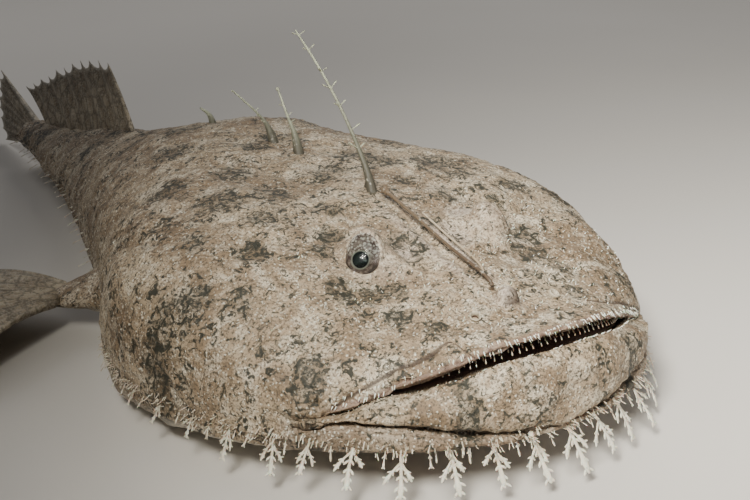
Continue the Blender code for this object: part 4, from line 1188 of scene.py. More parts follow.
def give_mark(piece, name, values):
    attribute = piece.data.attributes.new(name, "FLOAT", "POINT")
    attribute.data.foreach_set("value", np.asarray(values, dtype=np.float32))


def strip_mark(points):
    """1 on the strip of throat skin between the fold and the rim of the head."""
    angle, radius = head_angle(points)
    turns = np.linspace(0, MOUTH_ANGLE, 60)
    top = np.interp(np.abs(angle), turns, [fold_height(a) for a in turns])
    below = ramp((top + 0.0006 - points[:, 2]) / 0.0012) * ramp((points[:, 2] - 0.012) / 0.006)
    return below * ramp((radians(54) - np.abs(angle)) / 0.05) * ramp((radius - 0.88) / 0.05)


BARE_SPOTS = [
    (0.0400, 0.1560, 0.0090, 0.0090, 1.0), (0.0225, 0.1370, 0.0085, 0.0130, 1.0),
    (0.0000, 0.0585, 0.0080, 0.0080, 1.2), (0.0080, 0.1300, 0.0040, 0.0500, 0.9),
    (0.0480, 0.1330, 0.0200, 0.0240, 0.45),
]


def smooth_mark(points):
    """1 on the bare skin round the eyes, in the hollows before them and on the snout's knob."""
    bare = np.zeros(len(points))
    for hand in (-1, 1):
        for x, y, wide, long, strength in BARE_SPOTS:
            bare = np.maximum(bare, mound(points, (hand * x, y), (wide, long), strength))
    bare = np.minimum(bare, 1)
    return bare * ramp((points[:, 2] / FISH_LENGTH - 0.09) / 0.01)


def knob_painted_shade(points):
    """1 on the front and lower side of the snout's knob and in the furrow round its foot, where a dark
    crescent of painted shade goes.
    """
    away = (points - knob_centre) / KNOB_RADIUS
    far = np.linalg.norm(away, axis=1)
    return np.exp(-((far - 1.05) / 0.28) ** 2) * ramp(0.25 - 0.9 * away[:, 1] + 0.3 * away[:, 0])


coat = get_points(skin)
looks_down = ramp((-get_normals(skin)[:, 2] - 0.45) / 0.4)
for mark_name, mark in (("knob_painted_shade", knob_painted_shade(coat)), ("snout", snout), ("lip_gap", lip_gap),
                        ("crease_gap", crease_gap), ("clusters", cluster_mark(coat)),
                        ("mouth_inside", in_mouth_points(skin)), ("strip", strip_mark(coat)),
                        ("smooth", smooth_mark(coat)),
                        ("belly", looks_down * ramp((0.0200 - coat[:, 2]) / 0.006))):
    give_mark(skin, mark_name, mark)
print("clusters", len(CLUSTERS))

# %% [markdown]
# ## The skin's paint
# Close up, the skin is a coat of fine pale grains on warm brown, like wet sand. Over it lie the dark
# marks, broad browner and paler patches, and a pale, smooth belly. The same grains drive the bump, so the
# pale tops stand up and catch the light. The inside of the mouth is dark and smooth.

# %% Mix the skin's paint
def skin_paint():
    p = Paint("mottled_skin", 0.6)
    loose = p.warped(0.008, 0.004)
    uneven = p.times(p.grain(0.0060, 3, 0.6), 0.6)
    grains = p.sum("ADD", p.cells(0.0021, place=p.warped(0.003, 0.0018)), uneven)
    tops = p.limit(grains, 0.68, 0.38)
    speckle = p.grain(0.0014, 4, 0.75)
    broad = p.grain(0.050, 4, 0.6, 0.6)
    patch = p.grain(0.015, 4, 0.65, 1.0)
    sand = p.mix(p.limit(broad, 0.38, 0.64), (0.25, 0.175, 0.105), (0.45, 0.355, 0.24))
    sand = p.mix(p.limit(patch, 0.46, 0.66, 0.0, 0.7), sand, (0.68, 0.60, 0.47))
    sand = p.mix(p.limit(patch, 0.44, 0.32, 0.0, 0.6), sand, (0.14, 0.098, 0.060))
    sand = p.mix(p.times(p.mark("strip"), 0.5), sand, (0.20, 0.145, 0.105))
    dusty = p.mix(p.times(tops, 0.75), sand, (0.89, 0.86, 0.73))
    dusty = p.mix(p.limit(speckle, 0.52, 0.40, 0.0, 0.88), dusty, (0.070, 0.048, 0.030))
    calm = p.mark("smooth")
    bare = p.mix(p.limit(speckle, 0.56, 0.42), (0.55, 0.47, 0.40), (0.30, 0.23, 0.18))
    dusty = p.mix(p.times(calm, 0.75), dusty, bare)
    fine = p.limit(p.cells(0.0095, "DISTANCE_TO_EDGE", loose), 0.16, 0.03)
    spread_out = p.limit(p.grain(0.024, 3, 0.60, 0.8), 0.44, 0.62, 0.0, 0.55)
    gathered = p.larger(p.limit(p.mark("clusters"), 0.05, 0.75), spread_out)
    more = p.times(gathered, 0.162)
    broken = p.limit(p.sum("ADD", p.grain(0.0045, 3, 0.6, 1.2), more), 0.58, 0.63)
    blots = p.limit(p.sum("ADD", p.grain(0.0045, 3, 0.62, 1.6), more), 0.62, 0.66)
    gaps = p.limit(p.grain(0.0016, 3, 0.7, 0.6), 0.44, 0.56, 0.45, 1.0)
    marks = p.larger(p.times(fine, broken), p.times(blots, gaps))
    thick = p.times(p.limit(p.mark("clusters"), 0.1, 0.9), 0.46)
    shaded = p.mix(thick, dusty, (0.12, 0.09, 0.055))
    marked = p.mix(p.times(marks, 0.96), shaded, (0.016, 0.017, 0.010))
    gap = p.mark("lip_gap")
    lip = p.times(p.limit(gap, 0.0042, 0.0016), p.limit(gap, -0.0010, 0.0))
    lip = p.times(lip, p.mark("snout"))
    marked = p.mix(p.times(lip, 0.66), marked, (0.20, 0.125, 0.095))
    # Painted shade: a dark line along the crease above the upper lip, and a dark crescent on the front of the
    # snout's knob and round its foot.
    furrow = p.limit(p.sum("ABSOLUTE", p.mark("crease_gap"), 0), 0.0016, 0.0003)
    furrow = p.times(furrow, p.limit(p.mark("snout"), 0.1, 0.9, 0.0, 0.85))
    marked = p.mix(p.larger(furrow, p.times(p.mark("knob_painted_shade"), 0.95)), marked,
                   (0.050, 0.032, 0.022))
    pale = p.mix(p.mark("belly"), marked, (0.62, 0.58, 0.50))
    colour = p.mix(p.limit(p.mark("mouth_inside"), 0.2, 0.9), pale, (0.100, 0.055, 0.042))
    lumps_bump = p.bump(p.grain(0.006, 4, 0.6), 0.0014, 0.6)
    grain_bump = p.bump(tops, 0.0006, 0.7, p.bump(speckle, 0.0006, 0.8, lumps_bump))
    rough = p.limit(speckle, 0.3, 0.7, 0.50, 0.74)
    return p.finish(colour, rough, grain_bump)


skin.data.materials.clear()
skin.data.materials.append(skin_paint())
skin.data.attributes.remove(skin.data.attributes["in_mouth"])
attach(skin, "root")
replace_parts(skin, "head", "upper_jaw", "lower_jaw", "torso", "tail",
            "pectoral_arm_left", "pectoral_arm_right")
print("skin painted")

# %% [markdown]
# ## Eyes
# A goosefish's eye is small and stands on the dome of its orbit. The pupil is a dark, faintly green disc
# in a mottled ring. We turn the eyeball on a lathe along its own axis: a ball whose front is cut back to
# a shallow cone, the iris, with the lens standing in a pit at its middle. A clear cornea closes it.

# %% Turn the eyeballs
PUPIL_RADIUS = 0.0044
EYE_SIDES = 64


def turned(profile, sides):
    """A closed turned form about the z axis from (radius, height) pairs that start and end on the axis."""
    turn = np.linspace(0, 2 * np.pi, sides, endpoint=False)
    points = [(0.0, 0.0, profile[0][1])]
    for radius, height in profile[1:-1]:
        points += [(radius * cos(a), radius * sin(a), height) for a in turn]
    points.append((0.0, 0.0, profile[-1][1]))
    faces = []
    rings = len(profile) - 2
    for i in range(sides):
        j = (i + 1) % sides
        faces.append((0, 1 + j, 1 + i))
        for k in range(rings - 1):
            a = 1 + k * sides
            faces.append((a + i, a + j, a + sides + j, a + sides + i))
        last = 1 + (rings - 1) * sides
        faces.append((last + i, last + j, len(points) - 1))
    return points, faces


def set_in_socket(piece, hand):
    """Stand a turned piece in an eye's place, with its z axis along the eye's line of sight."""
    place = Vector(EYE_PLACE * MIRROR[hand])
    piece.matrix_basis = Matrix.Translation(place) @ Matrix(eye_frame(hand).tolist()).to_4x4()


def eyeball_profile():
    r = EYE_RADIUS
    ball = [(r * sin(a), -r * cos(a)) for a in np.linspace(0, radians(128), 26)]
    edge = ball[-1]
    iris = [(edge[0] + (PUPIL_RADIUS - edge[0]) * t, edge[1] + (0.86 * r - edge[1]) * t ** 0.85)
            for t in np.linspace(0.1, 1, 10)]
    pit = [(PUPIL_RADIUS * 0.96, 0.83 * r), (PUPIL_RADIUS * 0.92, 0.79 * r)]
    lens = [(PUPIL_RADIUS * 0.90 * cos(a), 0.79 * r + 0.10 * r * sin(a))
            for a in np.linspace(0.1, pi / 2, 8)]
    return ball + iris + pit + lens[:-1] + [(0.0, lens[-1][1])]


def cornea_profile():
    reach = EYE_RADIUS * 1.01
    outer = [(reach * sin(a), reach * cos(a)) for a in np.linspace(0, radians(60), 20)]
    inner = [(0.965 * radius, 0.965 * height) for radius, height in outer]
    return inner + outer[::-1]


def eye_paint():
    p = Paint("eye_iris", 0.25, (0.12, 0.10, 0.07))
    split = p.node("ShaderNodeSeparateXYZ")
    p.feed(split.inputs[0], p.place)
    across = p.sum("POWER", p.sum("ADD", p.sum("POWER", split.outputs[0], 2.0),
                                  p.sum("POWER", split.outputs[1], 2.0)), 0.5)
    mottle = p.limit(p.grain(0.0026, 4, 0.65, 0.8), 0.38, 0.66)
    base = p.mix(mottle, (0.085, 0.055, 0.045), (0.30, 0.24, 0.20))
    specks = p.limit(p.sum("ADD", p.cells(0.0014), p.grain(0.003, 2)), 1.15, 0.75)
    upper = p.limit(split.outputs[1], 0.0005, 0.005)
    limb = p.times(p.limit(across, 0.0062, 0.0078), p.limit(split.outputs[1], 0.001, -0.003))
    lower = p.mix(p.times(limb, 0.85), base, (0.020, 0.014, 0.012))
    pale = p.mix(p.times(specks, upper), lower, (0.72, 0.69, 0.60))
    from_edge = p.sum("ABSOLUTE", p.sum("SUBTRACT", across, PUPIL_RADIUS * 1.06), 0.0)
    ring = p.limit(from_edge, 0.0007, 0.0001)
    rimmed = p.mix(p.times(ring, 0.7), pale, (0.30, 0.33, 0.27))
    dark = p.limit(across, PUPIL_RADIUS * 1.01, PUPIL_RADIUS * 0.94)
    colour = p.mix(dark, rimmed, (0.010, 0.020, 0.017))
    fibres = p.bump(p.grain(0.0012, 3), 0.0003, 0.6)
    return p.finish(colour, normal=fibres, Coat_Weight=0.5, Coat_Roughness=0.05)


def cornea_paint():
    p = Paint("cornea", 0.03, (0.8, 0.85, 0.85))
    tint = p.mix(p.grain(0.004), (0.90, 0.93, 0.93), (0.97, 0.98, 0.98))
    return p.finish(tint, Transmission_Weight=1.0, IOR=1.12)


iris_paint = eye_paint()
clear_paint = cornea_paint()
for hand, side_name in ((1, "left"), (-1, "right")):
    ball_points, ball_faces = turned(eyeball_profile(), EYE_SIDES)
    eyeball = new_piece("eyeball_" + side_name, egg_shaped(ball_points, PUPIL_RADIUS * 1.1), ball_faces)
    cap_points, cap_faces = turned(cornea_profile(), EYE_SIDES)
    cornea = new_piece("cornea_" + side_name, egg_shaped(cap_points, PUPIL_RADIUS * 0.5), cap_faces)
    for piece, paint_here in ((eyeball, iris_paint), (cornea, clear_paint)):
        set_in_socket(piece, hand)
        piece.data.materials.append(paint_here)
        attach(piece, "root")
    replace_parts(eyeball, "eye_" + side_name)
print("eyeball faces", len(eyeball.data.polygons))

# %% [markdown]
# ## Many small things as one mesh
# Flaps, whiskers and teeth are all rods or straps of a few sides. A heap gathers their points and faces
# and becomes one piece. Each flap of the coat also notes where it is rooted, on a flat map of the skin:
# the angle round the outline one way and the height the other. The piece carries these places as its map
# layer.

# %% The heap
MAP_PATCH = 0.003


class Heap:
    """Points and faces of many small forms, with the map place of each."""

    def __init__(self):
        self.points = []
        self.faces = []
        self.map = []
        self.shade = []

    def add(self, points, faces, root, shade):
        start = len(self.points)
        points = np.asarray(points)
        low = points.min(axis=0)
        size = max(np.ptp(points, axis=0).max(), 1e-6)
        local = (points - low) / size * MAP_PATCH
        spot = map_spot(root)
        self.points.extend(points)
        self.faces.extend([tuple(start + i for i in face) for face in faces])
        self.map.extend(np.stack([spot[0] + local[:, 0], spot[1] + local[:, 2]], axis=1))
        self.shade.extend(np.broadcast_to(shade, len(points)))

    def piece(self, name, material, slot):
        made = new_piece(name, self.points, self.faces)
        flat = made.data.uv_layers.new(name="OFBake")
        corners = numbers_of(made.data.loops, "vertex_index", 1, int)
        flat.data.foreach_set("uv", np.array(self.map)[corners].astype(np.float32).ravel())
        give_mark(made, "shade", self.shade)
        made.data.materials.append(material)
        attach(made, "root")
        print(name, "faces", len(self.faces))
        return made


skin_surface = BVHTree.FromPolygons([v.co for v in skin.data.vertices],
                                    [p.vertices[:] for p in skin.data.polygons])


def on_skin(point):
    """The nearest place on the finished skin and its normal."""
    place, normal, _, _ = skin_surface.find_nearest(Vector(point))
    return np.array(place), np.array(normal)


def map_spot(point):
    """Where a root lies on the flat map of the skin."""
    angle = head_angle(np.array([point]))[0][0]
    return (0.5 + 0.48 * angle / pi, min(0.95, max(0.02, point[2] / FISH_LENGTH * 3 + 0.2)))


print("the snout's tip lies on the map at", map_spot((0, 0, 0.05)))

# %% [markdown]
# ## The fringe
# A row of branched skin flaps hangs from the rim of the head and breaks up its outline on the sand. A
# large flap is a stem with a long arm on each side, small lobes up the stem and a spoon-shaped tip.
# We lay each one out flat, as strokes with a width, and bend it outwards and down from its root.

# %% Strokes of one flap
def stroke(start, turn, length, widths, bend=0.0, steps=7):
    """A flat curved stroke: its middle line as (across, along) places, and its half widths."""
    t = np.linspace(0, 1, steps)
    heading = turn + bend * t
    step = length / (steps - 1)
    across = start[0] + np.concatenate([[0], np.cumsum(np.sin(heading[:-1]) * step)])
    along = start[1] + np.concatenate([[0], np.cumsum(np.cos(heading[:-1]) * step)])
    return np.stack([across, along], axis=1), np.interp(t, np.linspace(0, 1, len(widths)), widths)


STEM_WIDTHS = np.array([0.070, 0.044, 0.038, 0.040, 0.052, 0.082, 0.036])
ARM_WIDTHS = np.array([0.036, 0.027, 0.028, 0.052, 0.022])
LOBE_WIDTHS = np.array([0.028, 0.026, 0.036, 0.014])
OUTER_TWIG_WIDTHS = np.array([0.026, 0.024, 0.014])
INNER_TWIG_WIDTHS = np.array([0.024, 0.020, 0.012])
FLAP_CLEARANCE = 0.0012


def branched_flap(draw, size, arms, lobes):
    """The strokes of a flap: stem and spoon, long arms, and small lobes."""
    lean = draw.uniform(-0.16, 0.16)
    sway = draw.uniform(-0.25, 0.25)
    strokes = [stroke((0, -0.06 * size), lean, size * 1.04, STEM_WIDTHS * size, sway, 12)]
    stem = strokes[0][0]
    for side in (-1, 1):
        for _ in range(arms):
            start = stem[int(draw.uniform(2, 4))]
            length = size * draw.uniform(0.42, 0.60)
            turn = side * draw.uniform(0.55, 0.90)
            arm = stroke(start, turn, length, ARM_WIDTHS * size, -side * draw.uniform(0.1, 0.5), 8)
            strokes.append(arm)
            for spot in (3, 5):
                for way, low, high, share, widths in ((1, 0.4, 0.9, 0.11, OUTER_TWIG_WIDTHS),
                                                      (-1, 0.7, 1.1, 0.09, INNER_TWIG_WIDTHS)):
                    lean_out = turn + way * side * draw.uniform(low, high)
                    strokes.append(stroke(arm[0][spot], lean_out, share * size, widths * size, 0.0, 4))
        for k in range(lobes):
            spot = stem[int(np.clip(round(4.2 + 6.0 * k / max(lobes - 1, 1)), 4, 10))]
            length = size * draw.uniform(0.13, 0.19)
            turn = lean + sway * 0.5 + side * draw.uniform(0.85, 1.2)
            strokes.append(stroke(spot, turn, length, LOBE_WIDTHS * size, -side * 0.6, 5))
    return strokes


def hang_flap(heap, root, out, strokes, droop, curl, thin):
    """Bend the flat strokes of a flap out from its root and downwards, and add them to the heap."""
    side = sideways(out)
    down = np.array([0, 0, -1.0])
    for line, widths in strokes:
        path = []
        for across, along in line:
            tilt = droop + curl * along
            forward = out * cos(tilt) + down * sin(tilt)
            path.append(root + side * across + forward * along)
        path = np.array(path)
        path[:, 2] = np.maximum(path[:, 2], FLAP_CLEARANCE)
        face = np.cross(out * cos(droop) + down * sin(droop), side)
        widths = np.maximum(widths, 0.00030)
        points, faces = rod(path, widths, 6, thin, face)
        points[:, 2] = np.maximum(points[:, 2], FLAP_CLEARANCE / 2)
        tip = np.clip(np.linalg.norm(points - root, axis=1) / 0.022, 0, 1)
        heap.add(points, faces, root, tip)


print("strokes of a large flap", len(branched_flap(random.Random(0), 0.02, 1, 4)))

# %% Hang the fringe round the head
FRINGE_STEP = radians(3.9)
FRINGE_COUNT = 29
FRINGE_DROOP = radians(52)


def sideways(out):
    """The level direction across another one."""
    return np.array([-out[1], out[0], 0])


def outline_normal(angle):
    reach = FRONT_REACH if cos(angle) >= 0 else REAR_REACH
    normal = np.array([sin(angle) / HEAD_HALF_WIDTH, -cos(angle) / reach, 0])
    return normal / np.linalg.norm(normal)


def rim_root(angle, below=0.0):
    reach = FRONT_REACH if cos(angle) >= 0 else REAR_REACH
    point = (HEAD_HALF_WIDTH * sin(angle), HEAD_CENTRE - reach * cos(angle),
             margin_height(min(abs(angle), pi / 2)) - below)
    return on_skin(point)[0]


def fringe():
    draw = random.Random(7)
    heap = Heap()
    for k in range(-FRINGE_COUNT, FRINGE_COUNT + 1):
        angle = FRINGE_STEP * k + radians(draw.uniform(-0.8, 0.8))
        big = k % 2 == 0
        frontness = max(0.0, cos(min(abs(angle) * 0.8, pi / 2)))
        size = (0.011 + 0.021 * frontness ** 2) * FISH_LENGTH * draw.uniform(0.85, 1.1) if big else 0.0085
        root = rim_root(angle)
        out = outline_normal(angle)
        size = min(size, (root[2] - FLAP_CLEARANCE) / sin(FRINGE_DROOP) * 1.02)
        arms = 1 if big else 0
        lobes = (4 if frontness > 0.45 else 2) if big else draw.choice((1, 1, 2))
        droop = FRINGE_DROOP + draw.uniform(-0.12, 0.12)
        strokes = branched_flap(draw, size, arms, lobes)
        hang_flap(heap, root - out * 0.0012, out, strokes, droop, draw.uniform(0, 8), 0.34)
        for _ in range(14 if big else 5):
            near = angle + draw.gauss(0, radians(1.0 if big else 1.6))
            spot = rim_root(near, draw.uniform(-0.005, 0.003))
            small = draw.uniform(0.0026, 0.0058) * (0.6 + 0.5 * frontness)
            strokes = branched_flap(draw, small, 0, draw.choice((0, 0, 1)))
            hang_flap(heap, spot - out * 0.0006, out, strokes, draw.uniform(-0.3, 1.2), 0, 0.5)
    return heap


def flap_paint():
    p = Paint("fringe_skin", 0.5, (0.62, 0.58, 0.50))
    base = p.mix(p.limit(p.grain(0.004, 3), 0.35, 0.68), (0.48, 0.40, 0.30), (0.72, 0.66, 0.54))
    tipped = p.mix(p.limit(p.mark("shade"), 0.25, 0.9, 0.0, 0.7), base, (0.80, 0.77, 0.65))
    speck = p.mix(p.limit(p.grain(0.0010, 3), 0.60, 0.72, 0.0, 0.5), tipped, (0.17, 0.13, 0.09))
    fine = p.bump(p.grain(0.0014, 3), 0.0004, 0.7)
    return p.finish(speck, normal=fine, Subsurface_Weight=0.15, Subsurface_Scale=0.002)


fringe_finish = flap_paint()
fringe().piece("fringe_flaps", fringe_finish, "skin")

# %% [markdown]
# ## Whiskers and teeth on the lips
# Both lips carry a close row of pale, soft whiskers, and behind them stand slender teeth that lean into
# the mouth. Each is a tiny tapered rod, a whisker rooted on the finished skin and a tooth just inside the
# lip's edge, with its size and lean drawn at random from a fixed seed, so that every run gives the same
# mouth.

# %% Whiskers along the lips
def lip_place(angle, upper, lift=0.0):
    """A place on the outer edge of a lip, in the fish's coordinates."""
    if upper:
        radius = lip_radius(angle) - 0.002
        height = upper_lip_height(angle) + 0.0004 + lift
    else:
        radius = lower_lip_radius(angle) - 0.001
        height = lower_lip_height(angle) - 0.0002 - lift
    return plan_points(angle, [radius], height)[0]


BRISTLE_TAPER = np.array([1.0, 0.95, 0.75, 0.5, 0.14])
BRISTLE_FLATNESS = 0.9
BRISTLE_UP = (0.31, 0.22, 0.93)


def bristle(heap, root, ahead, length, radius, curve, sides=5):
    """A tapered, curved whisker or tooth."""
    ahead = np.asarray(ahead, float) / np.linalg.norm(ahead)
    t = np.linspace(0, 1, 5)[:, None]
    path = root + ahead * length * (t * 1.15 - 0.15) + np.asarray(curve) * length * t ** 2
    points, faces = rod(path, radius * BRISTLE_TAPER, sides, BRISTLE_FLATNESS, BRISTLE_UP)
    heap.add(points, faces, root, 0.5)


SNOUT_WHISKERS = 300


def whiskers():
    draw = random.Random(23)
    heap = Heap()
    for upper in (True, False):
        for angle in np.arange(-43.7, 43.8, 0.95):
            spot = radians(angle + draw.uniform(-0.35, 0.35))
            rows = 2 if upper else 1
            for row in range(rows):
                if draw.random() < (0.35 if row or not upper else 0.12):
                    continue
                lift = draw.uniform(0.0026, 0.0064) if row else draw.uniform(0.0008, 0.0024)
                root = on_skin(lip_place(spot, upper, lift))[0]
                out = outline_normal(spot)
                sense = -1 if upper else 1
                slant = sideways(out) * draw.uniform(-0.25, 0.25)
                ahead = out * draw.uniform(0.55, 0.9)
                ahead = ahead + np.array([0, 0, sense * draw.uniform(0.6, 0.9)]) + slant
                length = draw.uniform(0.0014, 0.0028) * (1.1 - 0.3 * abs(angle) / 50) * (0.8 if row else 1.0)
                bristle(heap, root, ahead, length, draw.uniform(0.00032, 0.00046), out * 0.15)
    for _ in range(SNOUT_WHISKERS):
        angle = radians(draw.uniform(-62, 62))
        radius = lip_radius(angle) * draw.uniform(0.55, 0.97)
        spot = plan_points(angle, [radius], float(dome_height(angle, np.array([radius]))[0]))[0]
        root, normal = on_skin(spot)
        lean = np.array([draw.uniform(-0.5, 0.5), draw.uniform(-0.7, 0.2), 0.2])
        length = draw.uniform(0.0008, 0.0016)
        bristle(heap, root, normal + lean, length, draw.uniform(0.00025, 0.00040), lean * 0.2)
    return heap


def whisker_paint():
    p = Paint("pale_whiskers", 0.45, (0.75, 0.72, 0.64))
    base = p.mix(p.limit(p.grain(0.003, 2), 0.3, 0.7), (0.66, 0.63, 0.52), (0.86, 0.87, 0.79))
    return p.finish(base, Subsurface_Weight=0.2, Subsurface_Scale=0.0015)


whiskers().piece("lip_whiskers", whisker_paint(), "skin")


# %% Teeth inside the lips
def teeth():
    draw = random.Random(31)
    heap = Heap()
    for upper in (True, False):
        reach = 0.86 * (GAPE_ANGLE if upper else MOUTH_ANGLE * 0.8)
        for row in range(2):
            for angle in np.linspace(-reach, reach, 34 if upper else 40):
                spot = angle + draw.uniform(-0.008, 0.008)
                room = upper_lip_height(spot) - lower_lip_height(spot)
                inward = 0.030 + 0.022 * row
                radius = (lip_radius(spot) if upper else lower_lip_radius(spot)) - inward
                height = upper_lip_height(spot) if upper else lower_lip_height(spot) - 0.0012
                root = plan_points(spot, [radius], height)[0]
                back = -outline_normal(spot)
                sense = -1 if upper else 1
                length = min(draw.uniform(0.0014, 0.0028) + 0.001 * row, 0.0010 + 0.5 * room)
                bristle(heap, root, back * 0.45 + np.array([0, 0, sense]), length, 0.00042, back * 0.25, 6)
    return heap


def tooth_paint():
    p = Paint("teeth", 0.25, (0.8, 0.75, 0.62))
    base = p.mix(p.limit(p.grain(0.002, 2), 0.3, 0.7), (0.40, 0.33, 0.23), (0.58, 0.52, 0.40))
    return p.finish(base, Subsurface_Weight=0.25, Subsurface_Scale=0.001, Coat_Weight=0.4)


teeth().piece("teeth", tooth_paint(), "skin")

# %% [markdown]
# ## The lure and the spines
# The first spine of the back is the fishing rod. Here it lies back in its groove, with its fleshy bait at
# the foot of the third spine. Each spine is a tapered rod on a smooth line; the third carries small
# leaves in pairs, and a web of skin climbs its foot.

# %% Rods of the back
ILLICIUM = [(0, 0.0740, 0.098), (0, 0.0780, 0.1080), (0, 0.120, 0.1182), (0, 0.1600, 0.1298),
            (0, 0.1880, 0.1372), (0, 0.1960, 0.1385)]
SPINE_2 = [(0.0075, 0.0920, 0.102), (0.0075, 0.0960, 0.1108), (0.0075, 0.130, 0.1208),
           (0.0080, 0.158, 0.1290)]
SPINE_3 = [(0, 0.2045, 0.128), (0, 0.2150, 0.1500), (0, 0.2391, 0.1795), (0, 0.2700, 0.2080),
           (0, 0.3042, 0.2328)]
SPINE_4 = [(0, 0.3020, 0.133), (0, 0.3100, 0.1530), (0, 0.3195, 0.1650), (0, 0.3331, 0.1841)]
SPINE_5 = [(0, 0.3380, 0.133), (0, 0.3500, 0.1500), (0, 0.3690, 0.1590), (0, 0.4055, 0.1690)]
SPINE_6 = [(0, 0.4400, 0.130), (0, 0.4480, 0.1400), (0, 0.4640, 0.1430)]


LEAF_BROADNESS = 2.3
LEAF_LEAST = 0.00042


def spine_paint(name, foot, tip):
    """Dark skin at the foot of a spine, paler towards its tip, with fine dark spots and pale flecks."""
    p = Paint(name, 0.5, foot)
    base = p.mix(p.limit(p.mark("shade"), 0.05, 0.9), foot, tip)
    spots = p.mix(p.limit(p.grain(0.0016, 4, 0.7), 0.52, 0.66, 0.0, 0.7), base, (0.06, 0.055, 0.04))
    pale = p.mix(p.limit(p.grain(0.0028, 3, 0.6), 0.60, 0.74, 0.0, 0.6), spots, (0.55, 0.52, 0.44))
    return p.finish(pale, normal=p.bump(p.grain(0.0010, 4), 0.0005, 0.8))


def add_spine(heap, places, radii):
    line = smooth_path(np.array(places) * FISH_LENGTH, 8)
    points, faces = rod(line, radii, 12)
    run = np.linalg.norm(points - line[0], axis=1) / np.linalg.norm(line[-1] - line[0])
    heap.add(points, faces, line[0], np.clip(run, 0, 1))
    return line


def leaf(heap, root, out, up, size, draw):
    """A small oak-leaf tendril: a stem with side lobes, thin across."""
    out = np.asarray(out) / np.linalg.norm(out)
    side = np.cross(out, up)
    side /= np.linalg.norm(side)
    for line, widths in branched_flap(draw, size, 0, 2):
        path = np.array([root + side * a + out * b for a, b in line])
        widths = np.maximum(LEAF_BROADNESS * widths, LEAF_LEAST)
        points, faces = rod(path, widths, 5, 0.5, np.cross(out, side))
        heap.add(points, faces, root, 0.9)


def closed_sheet(grid, depth):
    """Points and faces of a sheet with two sides and a rim, from a grid of columns and its half depth."""
    wide, tall = grid.shape[:2]
    half = wide * tall
    points = np.concatenate([(grid + depth).reshape(-1, 3), (grid - depth).reshape(-1, 3)])
    faces = []
    for c in range(wide - 1):
        for r in range(tall - 1):
            a = c * tall + r
            faces.append((a, a + tall, a + tall + 1, a + 1))
            faces.append((a + half, a + 1 + half, a + tall + 1 + half, a + tall + half))
    rim = ([c * tall for c in range(wide)] + [(wide - 1) * tall + r for r in range(1, tall)]
           + [c * tall + tall - 1 for c in range(wide - 2, -1, -1)] + list(range(tall - 2, 0, -1)))
    for a, b in zip(rim, rim[1:] + rim[:1]):
        faces.append((b, a, a + half, b + half))
    return points, faces


def web_at_foot(heap, line, reach, height, thick):
    """A thin web of skin that climbs the back of a spine from the skin."""
    tops = line[np.linalg.norm(line - line[0], axis=1) < height]
    outwards = np.linspace(0, 1, 6)
    edge = reach * (1 - np.linspace(0, 1, len(tops))) ** 1.6
    grid = tops[None] + outwards[:, None, None] * edge[None, :, None] * np.array([0, 1.0, 0])
    depth = thick * (1 - 0.8 * outwards)[:, None, None] * np.array([0.5, 0, 0])
    points, faces = closed_sheet(grid, depth)
    heap.add(points, faces, line[0], 0.1)


def bead(heap, radius, low, turns, sides, place, root, shade):
    """A small turned ball round a place, its foot a little lower or higher."""
    ball = [(radius * sin(a), -radius * cos(a)) for a in turns]
    points, faces = turned([(0, low)] + ball + [(0, radius)], sides)
    heap.add(np.array(points) + place, faces, root, shade)


print("points on the third spine's line", len(smooth_path(SPINE_3)))

# %% The lure's rod and bait
def lure():
    draw = random.Random(5)
    heap = Heap()
    add_spine(heap, ILLICIUM, [0.0014, 0.0011, 0.0009, 0.0009, 0.0009, 0.0010, 0.0016, 0.0009])
    bait = np.array(ILLICIUM[4]) * FISH_LENGTH
    bead(heap, 0.0019, -0.0018, np.linspace(0.25, 2.9, 10), 20, bait, bait, 0.8)
    for _ in range(5):
        turn = draw.uniform(0, 2 * pi)
        leaf(heap, bait, (0.6 * cos(turn), 0.8, 0.6 * sin(turn) + 0.3), (0, 0, 1), 0.0052, draw)
    return heap


lure_finish = spine_paint("lure_skin", (0.085, 0.055, 0.033), (0.15, 0.105, 0.066))
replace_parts(lure().piece("lure", lure_finish, "spine_skin"), "illicium")

# %% The spines, from front to back
LEAF_PAIRS = 7


def third_spine():
    draw = random.Random(11)
    heap = Heap()
    line = add_spine(heap, SPINE_3, [0.0031, 0.0027, 0.0018, 0.0012, 0.0009, 0.0008, 0.0007, 0.0007, 0.0005])
    web_at_foot(heap, line, 0.012, 0.024, 0.0014)
    for k in range(LEAF_PAIRS):
        share = 0.36 + 0.63 * k / (LEAF_PAIRS - 1)
        at = line[int(share * (len(line) - 1))]
        for hand in (-1, 1):
            if draw.random() < 0.10:
                continue
            out = np.array([hand * 0.9, 0.25 * cos(2.3 * k), 0.45 + 0.3 * draw.random()])
            leaf(heap, at, out, (0, 0.3, 1), draw.uniform(0.0044, 0.0072) * (1.15 - 0.4 * share), draw)
    return heap


spine_finish = spine_paint("spine_skin", (0.070, 0.062, 0.044), (0.46, 0.48, 0.35))
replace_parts(third_spine().piece("third_spine", spine_finish, "spine_skin"), "spine_3")


def plain_spine(name, node, places, radii, web, leaves, knob, seed, finish):
    draw = random.Random(seed)
    heap = Heap()
    line = add_spine(heap, places, radii)
    if web:
        web_at_foot(heap, line, web, 0.018, 0.0016)
    for k in range(leaves):
        at = line[int((0.45 + 0.5 * k / leaves) * (len(line) - 1))]
        out = np.array([draw.choice((-0.9, 0.9)), draw.uniform(-0.3, 0.5), 0.5])
        leaf(heap, at, out, (0, 0.3, 1), draw.uniform(0.0024, 0.0040), draw)
    if knob:
        top = line[-1] - np.array([0, 0, knob * 0.4])
        bead(heap, knob, -knob, np.linspace(0.3, 2.84, 8), 14, top, line[0], 1.0)
    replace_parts(heap.piece(name, finish, "spine_skin"), node)


